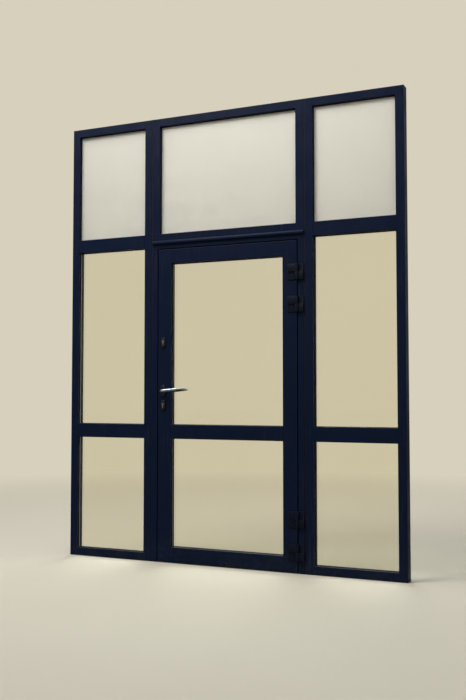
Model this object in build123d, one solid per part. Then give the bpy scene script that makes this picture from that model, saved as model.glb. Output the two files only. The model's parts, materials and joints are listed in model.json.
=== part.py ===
"""Glazed shop-front screen: a hinged glass door in its frame, two sidelights and toplights.

Millimetres. X runs to the right seen from the street, Y runs into the building and Z is up.
The origin is on the underside of the threshold, at the middle of the width and the depth.
The leaf hangs on the right, swings outwards, and locks into the jamb on the left.
"""

from build123d import *
import os

os.makedirs("parts", exist_ok=True)

# Whole screen
SCREEN_WIDTH = 2304.0
SCREEN_HEIGHT = 2895.0
FRAME_DEPTH = 70.0
CENTRE_WIDTH = 1054.0
DOOR_FRAME_HEIGHT = 2069.0
COUPLING_GAP = 6.0
MID_RAIL_Z = 839.0

# Profiles: widths across the outside face, then walls and lips
FRAME_FACE = 53.0
TEE_FACE = 87.0
DOOR_FRAME_FACE = 40.0
LEAF_FACE = 94.0
LEAF_DEPTH = 60.0
WALL = 2.0
LIP = 22.0
LIP_DEPTH = 18.0
EDGE_RADIUS = 2.5
INNER_RADIUS = 1.0
GASKET_GROOVE = 4.0
GASKET_GROOVE_BACK = 5.0
HARDWARE_GROOVE = 24.4
HARDWARE_GROOVE_DEPTH = 3.0

# Stop that the leaf closes on
STOP_LEG = 22.0
STOP_WALL = 2.5
STOP_TIP = 12.0
STOP_DEPTH = 6.0
SEAL_GROOVE_BACK = 6.0
SEAL_GROOVE_DEPTH = 3.4
SEAL_BULB = 8.0
SEAL_SKIN = 1.2

# Gaps round the leaf
DOOR_GAP = 5.5
LEAF_FLOOR_GAP = 3.0
THRESHOLD_PLATE = 3.0
THRESHOLD_HEIGHT = 20.0

# Glazing
SHEET = 4.0
CAVITY = 16.0
GLASS_BITE = 15.0
OUTER_GASKET = 4.0
INNER_GASKET = 3.0
GASKET_SHOW = 4.0
GASKET_TAIL = 9.0
GASKET_NOSE_RADIUS = 2.0
BEAD_HEIGHT = 20.0
BEAD_WALL = 1.5
BEAD_RADIUS = 3.0
SPACER_WIDTH = 12.5
BLOCK_LENGTH = 100.0

# Cleats and connectors inside the profiles
CLEAT_REACH = 34.0
CONNECTOR_LENGTH = 50.0
INSERT_CLEARANCE = 0.3

# Drip bar over the door
DRIP_HEIGHT = 23.0
DRIP_REACH = 13.0
DRIP_SLOPE = 11.0
DRIP_SKIN = 2.0
DRIP_ABOVE_JOINT = 9.0

# Hinges
HINGE_HEIGHT = 97.0
HINGE_PAIR_PITCH = 198.0
TOP_HINGE_DOWN = 195.5
BOTTOM_HINGE_UP = 120.0
KNUCKLE_RADIUS = 10.5
KNUCKLE_STANDOFF = 2.0
KNUCKLE_GAP = 2.0
KNUCKLE_CAP = 4.5
LEAF_WING = 60.0
FRAME_WING = 42.0
WING_PLATE = 5.0
WING_BLOCK = 12.0
WING_RADIUS = 3.0
WING_CLEARANCE = 1.25
BLOCK_BACK = 4.0
PIN_RADIUS = 5.0
PIN_SEAT_CLEARANCE = 0.05
PIN_RUN_CLEARANCE = 0.08
PIN_END_ROOM = 2.0
BUSH_WALL = 2.0
BUSH_FLANGE_RADIUS = 9.5
RUN_GAP = 0.3
HINGE_SCREW_RADIUS = 2.5
HINGE_SCREW_LENGTH = 14.0
HINGE_SCREW_PITCH = 24.0

# Locks
BACKSET = 40.0
LEVER_Z = 1101.0
LOCK_CENTRES = 85.0
UPPER_CYLINDER_Z = 1422.0
FACEPLATE_WIDTH = 24.0
CASE_DEPTH = 60.0
CASE_THICKNESS = 15.0
CASE_WALL = 1.5
MAIN_CASE_ABOVE_LEVER = 52.0
CASE_BELOW_CYLINDER = 34.0
UPPER_CASE_ABOVE_CYLINDER = 62.0
PLATE_BEYOND_CASE = 30.0
LATCH_ABOVE_LEVER = 30.0
LATCH_HEIGHT = 26.0
LATCH_THICKNESS = 12.0
LATCH_THROW = 11.5
LATCH_BODY = 38.0
DEAD_BOLT_ABOVE_CYLINDER = 38.0
DEAD_BOLT_HEIGHT = 30.0
DEAD_BOLT_THICKNESS = 10.0
DEAD_BOLT_LENGTH = 46.0
DEAD_BOLT_RECESS = 0.5
BOLT_CLEARANCE = 0.3
KEEP_CLEARANCE = 3.5
STRIKE_THICKNESS = 2.0
STRIKE_END = 26.0
PLATE_SCREW_RADIUS = 2.0
PLATE_SCREW_LENGTH = 12.0
PLATE_SCREW_INSET = 12.0
SCREW_CLEARANCE = 0.1

# Cylinders
CYLINDER_RADIUS = 8.5
CYLINDER_WEB_RADIUS = 5.0
CYLINDER_HEIGHT = 33.0
CYLINDER_PROUD = 1.0
CORE_RADIUS = 6.5
CORE_CLEARANCE = 0.08
CAM_REACH = 15.0
CAM_WIDTH = 8.0
CAM_THICKNESS = 8.4
CAM_SLOT = 9.0
CAM_BRIDGE = 8.0
KEYWAY_WIDTH = 2.4
KEYWAY_HEIGHT = 9.0
KEYWAY_DEPTH = 20.0
CYLINDER_HOLE_CLEARANCE = 0.5
CYLINDER_SCREW_RADIUS = 2.5
CYLINDER_SCREW_DOWN = 19.5

# Lever furniture
SPINDLE = 8.0
SPINDLE_CLEARANCE = 0.05
SPINDLE_GRIP = 26.0
SPINDLE_HOLE_RADIUS = 10.0
LEVER_RADIUS = 10.0
LEVER_TIP_RADIUS = 9.0
LEVER_STAND = 45.0
LEVER_REACH = 122.0
LEVER_BEND = 20.0
LEVER_RISE = 5.0  # degrees that the grip climbs towards its tip
LEVER_END_GAP = 0.5
FOLLOWER_RADIUS = 9.0
FOLLOWER_LOBE = 13.5
FOLLOWER_LOBE_WIDTH = 8.0
SHAFT_CLEARANCE = 0.1
ROSE_WIDTH = 35.0
ROSE_HEIGHT = 74.0
ROSE_THICKNESS = 9.0
ESCUTCHEON_WIDTH = 32.0
ESCUTCHEON_HEIGHT = 66.0
ESCUTCHEON_DROP = 8.0
FURNITURE_RADIUS = 2.5

# Wall fixing holes in the outer jambs, each pair evenly about its middle
FIXING_HOLE_RADIUS = 5.25
FIXING_PAIRS = ((450.0, 500.0), (1475.0, 800.0), (2510.0, 500.0))

# Places worked out from the sizes above
Y_OUT = -FRAME_DEPTH / 2
Y_IN = FRAME_DEPTH / 2
LEAF_IN = Y_OUT + LEAF_DEPTH
LEAF_MID = (Y_OUT + LEAF_IN) / 2
LIP_IN = Y_OUT + LIP_DEPTH
GLASS_OUT = LIP_IN + OUTER_GASKET
GLASS_IN = GLASS_OUT + 2 * SHEET + CAVITY
BEAD_OUT = GLASS_IN + INNER_GASKET
HALF_WIDTH = SCREEN_WIDTH / 2
CENTRE_HALF = CENTRE_WIDTH / 2
SIDE_INNER = CENTRE_HALF + COUPLING_GAP
DOOR_OPENING_HALF = CENTRE_HALF - DOOR_FRAME_FACE
LEAF_HALF = DOOR_OPENING_HALF - DOOR_GAP
LEAF_TOP = DOOR_FRAME_HEIGHT - DOOR_FRAME_FACE - DOOR_GAP
LEAF_BOTTOM = THRESHOLD_PLATE + LEAF_FLOOR_GAP
TOPLIGHT_BASE = DOOR_FRAME_HEIGHT + COUPLING_GAP
TOPLIGHT_SIGHT = TOPLIGHT_BASE + FRAME_FACE
SIDE_TRANSOM_Z = TOPLIGHT_SIGHT - TEE_FACE / 2
STOP_OUT = Y_IN - STOP_DEPTH
TEE_TUBE = TEE_FACE / 2 - LIP
CLEAT_ARM = FRAME_FACE - LIP - 2 * (WALL + INSERT_CLEARANCE)
HINGE_X = LEAF_HALF + DOOR_GAP / 2
HINGE_Y = Y_OUT - KNUCKLE_STANDOFF - KNUCKLE_RADIUS
HINGE_LEVELS = (
    LEAF_TOP - TOP_HINGE_DOWN,
    LEAF_TOP - TOP_HINGE_DOWN - HINGE_PAIR_PITCH,
    LEAF_BOTTOM + BOTTOM_HINGE_UP + HINGE_PAIR_PITCH,
    LEAF_BOTTOM + BOTTOM_HINGE_UP,
)
LOCK_X = -LEAF_HALF + BACKSET
PLATE_BACK_X = -LEAF_HALF + HARDWARE_GROOVE_DEPTH
MAIN_CYLINDER_Z = LEVER_Z - LOCK_CENTRES
LATCH_Z = LEVER_Z + LATCH_ABOVE_LEVER
MAIN_CASE_TOP = LEVER_Z + MAIN_CASE_ABOVE_LEVER
UPPER_CASE_TOP = UPPER_CYLINDER_Z + UPPER_CASE_ABOVE_CYLINDER
FURNITURE_OUT = Y_OUT - ROSE_THICKNESS
STRIKE_X = -DOOR_OPENING_HALF + STRIKE_THICKNESS

ALONG_Y = Vector(0, 1, 0)
RIGHT = Vector(1, 0, 0)
LEFT = Vector(-1, 0, 0)
UP = Vector(0, 0, 1)
DOWN = Vector(0, 0, -1)
OUTWARD = Vector(0, -1, 0)


def area(u0, y0, u1, y1):
    """Rectangle of a section, u across the face and y through the depth."""
    return Pos((u0 + u1) / 2, (y0 + y1) / 2) * Rectangle(u1 - u0, y1 - y0)


def block(x0, x1, y0, y1, z0, z1):
    """Solid box between two corners."""
    middle = Pos((x0 + x1) / 2, (y0 + y1) / 2, (z0 + z1) / 2)
    return middle * Box(x1 - x0, y1 - y0, z1 - z0)


def rounded_at(sketch, y, radius):
    """Rounds the corners of a section that lie at one depth."""
    corners = [v for v in sketch.vertices() if abs(v.Y - y) < 1e-6]
    return fillet(corners, radius)


def run(section, start, inward, length):
    """Extrudes a section; u points inward, and the run goes along inward cross Y."""
    plane = Plane(origin=start, x_dir=inward, z_dir=inward.cross(ALONG_Y))
    return extrude(plane * section, length)


def drill(centre, direction, radius, length):
    """Round cutter or shaft that starts at a point and runs along a direction."""
    return extrude(Plane(origin=centre, z_dir=direction) * Circle(radius), length)


def lip_void(tube_edge):
    """Hollow of a glazing lip, stepped round its gasket groove."""
    tip = tube_edge + LIP
    groove_wall = tip - GASKET_GROOVE_BACK - GASKET_GROOVE / 2 - WALL
    shallow = LIP_IN - GASKET_GROOVE - WALL
    deep = area(tube_edge, Y_OUT + WALL, groove_wall, LIP_IN - WALL)
    return deep + area(groove_wall, Y_OUT + WALL, tip - WALL, shallow)


def lip_groove(tube_edge):
    """Groove that holds the foot of the outside gasket."""
    middle = tube_edge + LIP - GASKET_GROOVE_BACK
    half = GASKET_GROOVE / 2
    return area(middle - half, LIP_IN - GASKET_GROOVE, middle + half, LIP_IN)


def frame_section():
    """Fixed frame profile: a tube with one glazing lip."""
    tube = FRAME_FACE - LIP
    outline = area(0, Y_OUT, tube, Y_IN) + area(0, Y_OUT, FRAME_FACE, LIP_IN)
    outline = rounded_at(outline, Y_OUT, EDGE_RADIUS)
    outline = rounded_at(outline, Y_IN, INNER_RADIUS)
    void = area(WALL, Y_OUT + WALL, tube - WALL, Y_IN - WALL)
    return outline - void - lip_void(tube) - lip_groove(tube)


def leaf_section():
    """Leaf profile: a tube with one glazing lip and a hardware groove in its edge."""
    tube = LEAF_FACE - LIP
    outline = area(0, Y_OUT, tube, LEAF_IN) + area(0, Y_OUT, LEAF_FACE, LIP_IN)
    outline = rounded_at(outline, Y_OUT, EDGE_RADIUS)
    outline = rounded_at(outline, LEAF_IN, INNER_RADIUS)
    half = HARDWARE_GROOVE / 2
    groove = area(0, LEAF_MID - half, HARDWARE_GROOVE_DEPTH, LEAF_MID + half)
    void = area(HARDWARE_GROOVE_DEPTH + WALL, Y_OUT + WALL, tube - WALL, LEAF_IN - WALL)
    return outline - groove - void - lip_void(tube) - lip_groove(tube)


def tee_section(inside_face):
    """Transom or mid rail profile: a tube with a glazing lip on both sides."""
    half = TEE_FACE / 2
    outline = area(-TEE_TUBE, Y_OUT, TEE_TUBE, inside_face) + area(-half, Y_OUT, half, LIP_IN)
    outline = rounded_at(outline, Y_OUT, EDGE_RADIUS)
    outline = rounded_at(outline, inside_face, INNER_RADIUS)
    void = area(WALL - TEE_TUBE, Y_OUT + WALL, TEE_TUBE - WALL, inside_face - WALL)
    cuts = lip_void(TEE_TUBE) + lip_groove(TEE_TUBE)
    return outline - void - cuts - mirror(cuts, Plane.YZ)


def stop_leg(start, tip):
    """Leg that the leaf closes on, with a seal groove near its tip."""
    middle = tip - SEAL_GROOVE_BACK
    half = GASKET_GROOVE / 2
    leg = area(start, Y_IN - STOP_WALL, tip, Y_IN) + area(tip - STOP_TIP, STOP_OUT, tip, Y_IN)
    return leg - area(middle - half, STOP_OUT, middle + half, STOP_OUT + SEAL_GROOVE_DEPTH)


def door_frame_section():
    """Door frame profile: a tube with a stop leg along its inside face."""
    outline = area(0, Y_OUT, DOOR_FRAME_FACE, Y_IN)
    outline = rounded_at(outline, Y_OUT, EDGE_RADIUS)
    void = area(WALL, Y_OUT + WALL, DOOR_FRAME_FACE - WALL, Y_IN - WALL)
    return outline - void + stop_leg(DOOR_FRAME_FACE, DOOR_FRAME_FACE + STOP_LEG)


def frame_sides(section, x0, x1, z0, z1, behind, ahead, square_foot=False):
    """Runs a section round a rectangle and mitres its four sides where they meet.

    behind and ahead say how far the section reaches outside and inside the rectangle.
    With square_foot the uprights end square on the ground and the bottom side is left out.
    """
    foot_in = 0 if square_foot else ahead
    foot_out = 0 if square_foot else behind
    outer = (
        (x0 - behind, z0 - foot_out),
        (x1 + behind, z0 - foot_out),
        (x1 + behind, z1 + behind),
        (x0 - behind, z1 + behind),
    )
    inner = (
        (x0 + ahead, z0 + foot_in),
        (x1 - ahead, z0 + foot_in),
        (x1 - ahead, z1 - ahead),
        (x0 + ahead, z1 - ahead),
    )
    wide, tall = x1 - x0 + 2 * behind, z1 - z0 + behind + foot_out
    runs = {
        "bottom": (0, Vector(x1 + behind, 0, z0), UP, wide),
        "right": (1, Vector(x1, 0, z1 + behind), LEFT, tall),
        "top": (2, Vector(x0 - behind, 0, z1), DOWN, wide),
        "left": (3, Vector(x0, 0, z0 - foot_out), RIGHT, tall),
    }
    if square_foot:
        del runs["bottom"]
    sides = {}
    for side, (i, start, inward, length) in runs.items():
        j = (i + 1) % 4
        corners = Polyline(outer[i], outer[j], inner[j], inner[i], close=True)
        keep = extrude(Plane.XZ * make_face(corners), FRAME_DEPTH, both=True)
        sides[side] = run(section, start, inward, length) & keep
    return sides


def tee_member(inside_face, x0, x1, z):
    """Transom or mid rail between two tubes, notched at its ends to fit over their lips."""
    beam = run(tee_section(inside_face), Vector(x1, 0, z), UP, x1 - x0)
    half = TEE_FACE / 2
    beam -= block(x0, x0 + LIP, Y_OUT, LIP_IN, z - half, z + half)
    beam -= block(x1 - LIP, x1, Y_OUT, LIP_IN, z - half, z + half)
    return beam


def corner_cleat(x, z, towards_x, towards_z, start, inside_face):
    """L-shaped cleat that joins two mitred profiles in the corner at x, z."""
    near = start + INSERT_CLEARANCE
    far = near + CLEAT_ARM
    end = far + CLEAT_REACH
    points = ((near, near), (end, near), (end, far), (far, far), (far, end), (near, end))
    outline = [(x + towards_x * u, z + towards_z * v) for u, v in points]
    middle = (Y_OUT + inside_face) / 2
    thick = inside_face - Y_OUT - 2 * (WALL + INSERT_CLEARANCE)
    plane = Plane(origin=(0, middle, 0), x_dir=(1, 0, 0), z_dir=(0, -1, 0))
    return extrude(plane * make_face(Polyline(*outline, close=True)), thick / 2, both=True)


def frame_cleats(x0, x1, z0, z1, start, inside_face, upper_only=False):
    """Cleats in the corners of one mitred frame."""
    corners = [(x0, z1, 1, -1), (x1, z1, -1, -1)]
    if not upper_only:
        corners += [(x0, z0, 1, 1), (x1, z0, -1, 1)]
    return [corner_cleat(*corner, start, inside_face) for corner in corners]


def tee_connectors(inside_face, x0, x1, z):
    """Blocks in the two ends of a transom, fixed to the tubes that it meets."""
    half = TEE_TUBE - WALL - INSERT_CLEARANCE
    y0, y1 = LIP_IN + INSERT_CLEARANCE, inside_face - WALL - INSERT_CLEARANCE
    ends = ((x0, x0 + CONNECTOR_LENGTH), (x1 - CONNECTOR_LENGTH, x1))
    return [block(a, b, y0, y1, z - half, z + half) for a, b in ends]


def outer_gasket_section():
    """Outside gasket, u counted from the edge of the lip: a head on the glass and a foot."""
    head = area(-GASKET_TAIL, LIP_IN, GASKET_SHOW, GLASS_OUT)
    nose = [v for v in head.vertices() if v.X > 0 and v.Y < LIP_IN + OUTER_GASKET / 2]
    head = fillet(nose, GASKET_NOSE_RADIUS)
    half = GASKET_GROOVE / 2 - INSERT_CLEARANCE
    root = LIP_IN - GASKET_GROOVE + INSERT_CLEARANCE
    return head + area(-GASKET_GROOVE_BACK - half, root, -GASKET_GROOVE_BACK + half, LIP_IN)


def inner_gasket_section():
    """Inside gasket between the glass and the bead, u counted from the edge of the lip."""
    bead_edge = BEAD_HEIGHT - LIP
    head = area(bead_edge - GASKET_TAIL, GLASS_IN, bead_edge + GASKET_SHOW, BEAD_OUT)
    nose = [v for v in head.vertices() if v.X > bead_edge and v.Y > GLASS_IN + INNER_GASKET / 2]
    return fillet(nose, GASKET_NOSE_RADIUS)


def bead_section(inside_face):
    """Hollow glazing bead, u counted from the tube that it clips on."""
    outline = area(0, BEAD_OUT, BEAD_HEIGHT, inside_face)
    edge = [v for v in outline.vertices() if v.X > 0 and v.Y > (BEAD_OUT + inside_face) / 2]
    outline = fillet(edge, BEAD_RADIUS)
    far, inside = BEAD_HEIGHT - BEAD_WALL, inside_face - BEAD_WALL
    return outline - area(BEAD_WALL, BEAD_OUT + BEAD_WALL, far, inside)


def bead_bars(inside_face, x0, x1, z0, z1):
    """Four beads of one pane: level bars right across, upright bars between them."""
    section = bead_section(inside_face)
    left, right, low, high = x0 - LIP, x1 + LIP, z0 - LIP, z1 + LIP
    tall = high - low - 2 * BEAD_HEIGHT
    return [
        run(section, Vector(right, 0, low), UP, right - left),
        run(section, Vector(left, 0, high), DOWN, right - left),
        run(section, Vector(left, 0, low + BEAD_HEIGHT), RIGHT, tall),
        run(section, Vector(right, 0, high - BEAD_HEIGHT), LEFT, tall),
    ]


def notch_feet(sides, x0, x1, overhang, y0, y1):
    """Cuts the foot of level gaskets back to the opening, where it would meet an upright."""
    for side in ("bottom", "top"):
        low, high = sides[side].bounding_box().min.Z, sides[side].bounding_box().max.Z
        ends = block(x0 - overhang, x0, y0, y1, low, high) + block(x1, x1 + overhang, y0, y1, low, high)
        sides[side] -= ends


def glazing(inside_face, x0, x1, z0, z1):
    """Sealed pane with its gaskets, beads and blocks for an opening between lips."""
    left, right, low, high = x0 - GLASS_BITE, x1 + GLASS_BITE, z0 - GLASS_BITE, z1 + GLASS_BITE
    outside = block(left, right, GLASS_OUT, GLASS_OUT + SHEET, low, high)
    inside = block(left, right, GLASS_IN - SHEET, GLASS_IN, low, high)
    edge = SPACER_WIDTH
    spacer = block(left, right, GLASS_OUT + SHEET, GLASS_IN - SHEET, low, high)
    spacer -= block(left + edge, right - edge, GLASS_OUT, GLASS_IN, low + edge, high - edge)
    quarter = (x1 - x0) / 4
    half = BLOCK_LENGTH / 2
    blocks = [
        block(x - half, x + half, GLASS_OUT, GLASS_IN, z0 - LIP, low)
        for x in (x0 + quarter, x1 - quarter)
    ]
    reach = BLOCK_LENGTH
    outer = frame_sides(outer_gasket_section(), x0, x1, z0, z1, LIP, reach)
    notch_feet(outer, x0, x1, LIP, LIP_IN - GASKET_GROOVE, LIP_IN)
    inner = frame_sides(inner_gasket_section(), x0, x1, z0, z1, LIP, reach)
    return {
        "glass": [outside, inside],
        "spacers": [spacer],
        "blocks": blocks,
        "gaskets": list(outer.values()) + list(inner.values()),
        "beads": bead_bars(inside_face, x0, x1, z0, z1),
    }


def screw(centre, out, radius, length):
    """Countersunk screw whose flat head lies at centre and whose shank runs the other way."""
    head = Plane(origin=centre, z_dir=out) * Pos(0, 0, -radius / 2) * Cone(radius, 2 * radius, radius)
    return head + drill(centre, out * -1, radius, length)


def screw_hole(centre, out, radius, length):
    """Cutter for a countersunk screw, larger than it by the screw clearance."""
    return screw(centre, out, radius + SCREW_CLEARANCE, length)


def hinge_outline(wing, thickness, side):
    """Section of a hinge wing about the pin; side is -1 for the leaf and 1 for the frame."""
    back = -HINGE_Y + Y_OUT
    near = KNUCKLE_RADIUS + WING_CLEARANCE if thickness == WING_PLATE else BLOCK_BACK
    low, high = sorted((side * near, side * wing))
    plate = area(low, back - thickness, high, back)
    corner = [
        v for v in plate.vertices() if abs(v.X) > (near + wing) / 2 and v.Y < back - thickness / 2
    ]
    return fillet(corner, min(WING_RADIUS, thickness / 2))


def leaf_wing():
    """Hinge half on the leaf: full-height plate, with block and knuckle in the upper half."""
    half = HINGE_HEIGHT / 2
    plate = Pos(0, 0, -half) * extrude(hinge_outline(LEAF_WING, WING_PLATE, -1), HINGE_HEIGHT)
    thick = hinge_outline(LEAF_WING, WING_BLOCK, -1) + Circle(KNUCKLE_RADIUS)
    bottom = KNUCKLE_GAP / 2
    wing = plate + Pos(0, 0, bottom) * extrude(thick, half - bottom)
    bore = PIN_RADIUS + PIN_RUN_CLEARANCE + BUSH_WALL + PIN_SEAT_CLEARANCE
    wing -= drill(Vector(0, 0, bottom), UP, bore, half - bottom - KNUCKLE_CAP)
    for hole in wing_screw_places(-1):
        wing -= screw_hole(hole, OUTWARD, HINGE_SCREW_RADIUS, HINGE_SCREW_LENGTH)
    return wing


def frame_wing():
    """Hinge half on the frame: full-height plate, with block and knuckle in the lower half."""
    half = HINGE_HEIGHT / 2
    plate = Pos(0, 0, -half) * extrude(hinge_outline(FRAME_WING, WING_PLATE, 1), HINGE_HEIGHT)
    thick = hinge_outline(FRAME_WING, WING_BLOCK, 1) + Circle(KNUCKLE_RADIUS)
    top = -KNUCKLE_GAP / 2
    wing = plate + Pos(0, 0, -half) * extrude(thick, half + top)
    bore = PIN_RADIUS + PIN_SEAT_CLEARANCE
    wing -= drill(Vector(0, 0, top), DOWN, bore, half + top - KNUCKLE_CAP)
    for hole in wing_screw_places(1):
        wing -= screw_hole(hole, OUTWARD, HINGE_SCREW_RADIUS, HINGE_SCREW_LENGTH)
    return wing


def wing_screw_places(side):
    """Heads of the two screws in the thin half of a wing, about the hinge centre."""
    wing = LEAF_WING if side < 0 else FRAME_WING
    x = side * (KNUCKLE_RADIUS + WING_CLEARANCE + wing) / 2
    y = -HINGE_Y + Y_OUT - WING_PLATE
    middle = side * HINGE_HEIGHT / 4
    return [Vector(x, y, middle - HINGE_SCREW_PITCH / 2), Vector(x, y, middle + HINGE_SCREW_PITCH / 2)]


def hinge_pin():
    """Pin fixed in the lower knuckle, on which the leaf turns."""
    half = HINGE_HEIGHT / 2
    bottom = -half + KNUCKLE_CAP
    return drill(Vector(0, 0, bottom), UP, PIN_RADIUS, HINGE_HEIGHT - 2 * KNUCKLE_CAP - PIN_END_ROOM)


def hinge_bush():
    """Flanged bush in the upper knuckle; its flange carries the leaf between the knuckles."""
    bottom = -KNUCKLE_GAP / 2 + RUN_GAP
    top = HINGE_HEIGHT / 2 - KNUCKLE_CAP
    inner = PIN_RADIUS + PIN_RUN_CLEARANCE
    sleeve = drill(Vector(0, 0, bottom), UP, inner + BUSH_WALL, top - bottom)
    flange = drill(Vector(0, 0, bottom), UP, BUSH_FLANGE_RADIUS, KNUCKLE_GAP / 2 - bottom)
    return sleeve + flange - drill(Vector(0, 0, bottom), UP, inner, top - bottom)


def at_hinge(piece, z):
    """Moves a hinge piece from the pin's own axes to its place on the door."""
    return Pos(HINGE_X, HINGE_Y, z) * piece


def hinge_screw_holes(side):
    """Places of all hinge screws on one side of the pins."""
    shift = [Vector(HINGE_X, HINGE_Y, z) for z in HINGE_LEVELS]
    return [s + place for s in shift for place in wing_screw_places(side)]


def cylinder_outline(extra=0.0):
    """Profile of a lock cylinder seen from the street, with the core's centre at 0, 0."""
    drop = CYLINDER_HEIGHT - CYLINDER_RADIUS - CYLINDER_WEB_RADIUS
    web = CYLINDER_WEB_RADIUS + extra
    low = Pos(0, -drop) * Circle(web) + Pos(0, -drop / 2) * Rectangle(2 * web, drop)
    return Circle(CYLINDER_RADIUS + extra) + low


def through_leaf(outline, x, z, y0, y1):
    """Extrudes an outline drawn in X and Z from depth y0 to y1."""
    plane = Plane(origin=(x, y1, z), x_dir=(1, 0, 0), z_dir=(0, -1, 0))
    return extrude(plane * outline, y1 - y0)


def lock_cylinder(z):
    """Cylinder body with a bore for the core and a slot for the cam."""
    y0, y1 = FURNITURE_OUT - CYLINDER_PROUD, LEAF_IN + ROSE_THICKNESS + CYLINDER_PROUD
    body = through_leaf(cylinder_outline(), LOCK_X, z, y0, y1)
    body -= drill(Vector(LOCK_X, y0, z), ALONG_Y, CORE_RADIUS + CORE_CLEARANCE, y1 - y0)
    web_foot = z - CYLINDER_HEIGHT + CYLINDER_RADIUS
    slot = CYLINDER_RADIUS + CYLINDER_HOLE_CLEARANCE
    half = CAM_SLOT / 2
    body -= block(
        LOCK_X - slot, LOCK_X + slot, LEAF_MID - half, LEAF_MID + half, web_foot + CAM_BRIDGE, z + slot
    )
    thread = CYLINDER_SCREW_RADIUS + SCREW_CLEARANCE
    start = Vector(LOCK_X - CYLINDER_RADIUS, LEAF_MID, z - CYLINDER_SCREW_DOWN)
    return body - drill(start, RIGHT, thread, 2 * CYLINDER_RADIUS)


def cylinder_core(z):
    """Outside plug, cam and inside plug, which the key turns together."""
    y0, y1 = FURNITURE_OUT - CYLINDER_PROUD, LEAF_IN + ROSE_THICKNESS + CYLINDER_PROUD
    cam0, cam1 = LEAF_MID - CAM_THICKNESS / 2, LEAF_MID + CAM_THICKNESS / 2
    key = Rectangle(KEYWAY_WIDTH, KEYWAY_HEIGHT)
    outside = through_leaf(Circle(CORE_RADIUS), LOCK_X, z, y0, cam0)
    outside -= through_leaf(key, LOCK_X, z, y0, y0 + KEYWAY_DEPTH)
    inside = through_leaf(Circle(CORE_RADIUS), LOCK_X, z, cam1, y1)
    inside -= through_leaf(key, LOCK_X, z, y1 - KEYWAY_DEPTH, y1)
    lobe = Circle(CORE_RADIUS) + Pos(CAM_REACH / 2, 0) * Rectangle(CAM_REACH, CAM_WIDTH)
    cam_outline = lobe & Circle(CAM_REACH)
    return [outside, inside, through_leaf(cam_outline, LOCK_X, z, cam0, cam1)]


def bolt_box(z, height, thickness, extra, x0, x1):
    """Box round a bolt at one level, larger by a clearance on every side."""
    half_y, half_z = thickness / 2 + extra, height / 2 + extra
    return block(x0, x1, LEAF_MID - half_y, LEAF_MID + half_y, z - half_z, z + half_z)


def bolt_levels(cylinder_z, latch_z):
    """Level, height and thickness of each bolt of one lock."""
    bolts = [(cylinder_z + DEAD_BOLT_ABOVE_CYLINDER, DEAD_BOLT_HEIGHT, DEAD_BOLT_THICKNESS)]
    if latch_z is not None:
        bolts.append((latch_z, LATCH_HEIGHT, LATCH_THICKNESS))
    return bolts


def lock_case(cylinder_z, case_top, latch_z=None):
    """Sheet-metal lock case, open towards its face plate."""
    low = cylinder_z - CASE_BELOW_CYLINDER
    half = CASE_THICKNESS / 2
    x0, x1 = PLATE_BACK_X, PLATE_BACK_X + CASE_DEPTH
    case = block(x0, x1, LEAF_MID - half, LEAF_MID + half, low, case_top)
    wall = CASE_WALL
    case -= block(
        x0, x1 - wall, LEAF_MID - half + wall, LEAF_MID + half - wall, low + wall, case_top - wall
    )
    opening = cylinder_outline(CYLINDER_HOLE_CLEARANCE)
    case -= through_leaf(opening, LOCK_X, cylinder_z, LEAF_MID - half, LEAF_MID + half)
    if latch_z is not None:
        journal = FOLLOWER_RADIUS + SHAFT_CLEARANCE
        start = Vector(LOCK_X, LEAF_MID - half, LEVER_Z)
        case -= drill(start, ALONG_Y, journal, CASE_THICKNESS)
    return case


def plate_screw_levels(cylinder_z, case_top):
    """Levels of the two screws that hold a face plate."""
    low = cylinder_z - CASE_BELOW_CYLINDER - PLATE_BEYOND_CASE + PLATE_SCREW_INSET
    return low, case_top + PLATE_BEYOND_CASE - PLATE_SCREW_INSET


def face_plate(cylinder_z, case_top, latch_z=None):
    """Plate in the leaf's edge, with openings for the bolts and holes for its screws."""
    low, high = cylinder_z - CASE_BELOW_CYLINDER - PLATE_BEYOND_CASE, case_top + PLATE_BEYOND_CASE
    half = FACEPLATE_WIDTH / 2
    plate = block(-LEAF_HALF, PLATE_BACK_X, LEAF_MID - half, LEAF_MID + half, low, high)
    for z, height, thickness in bolt_levels(cylinder_z, latch_z):
        plate -= bolt_box(z, height, thickness, BOLT_CLEARANCE, -LEAF_HALF, PLATE_BACK_X)
    for z in plate_screw_levels(cylinder_z, case_top):
        head = Vector(-LEAF_HALF, LEAF_MID, z)
        plate -= screw_hole(head, LEFT, PLATE_SCREW_RADIUS, PLATE_SCREW_LENGTH)
    head = Vector(-LEAF_HALF, LEAF_MID, cylinder_z - CYLINDER_SCREW_DOWN)
    return plate - screw_hole(head, LEFT, CYLINDER_SCREW_RADIUS, BACKSET)


def lock_screws(cylinder_z, case_top):
    """Two screws of a face plate and the long screw that holds the cylinder."""
    screws = [
        screw(Vector(-LEAF_HALF, LEAF_MID, z), LEFT, PLATE_SCREW_RADIUS, PLATE_SCREW_LENGTH)
        for z in plate_screw_levels(cylinder_z, case_top)
    ]
    head = Vector(-LEAF_HALF, LEAF_MID, cylinder_z - CYLINDER_SCREW_DOWN)
    return screws + [screw(head, LEFT, CYLINDER_SCREW_RADIUS, BACKSET)]


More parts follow.
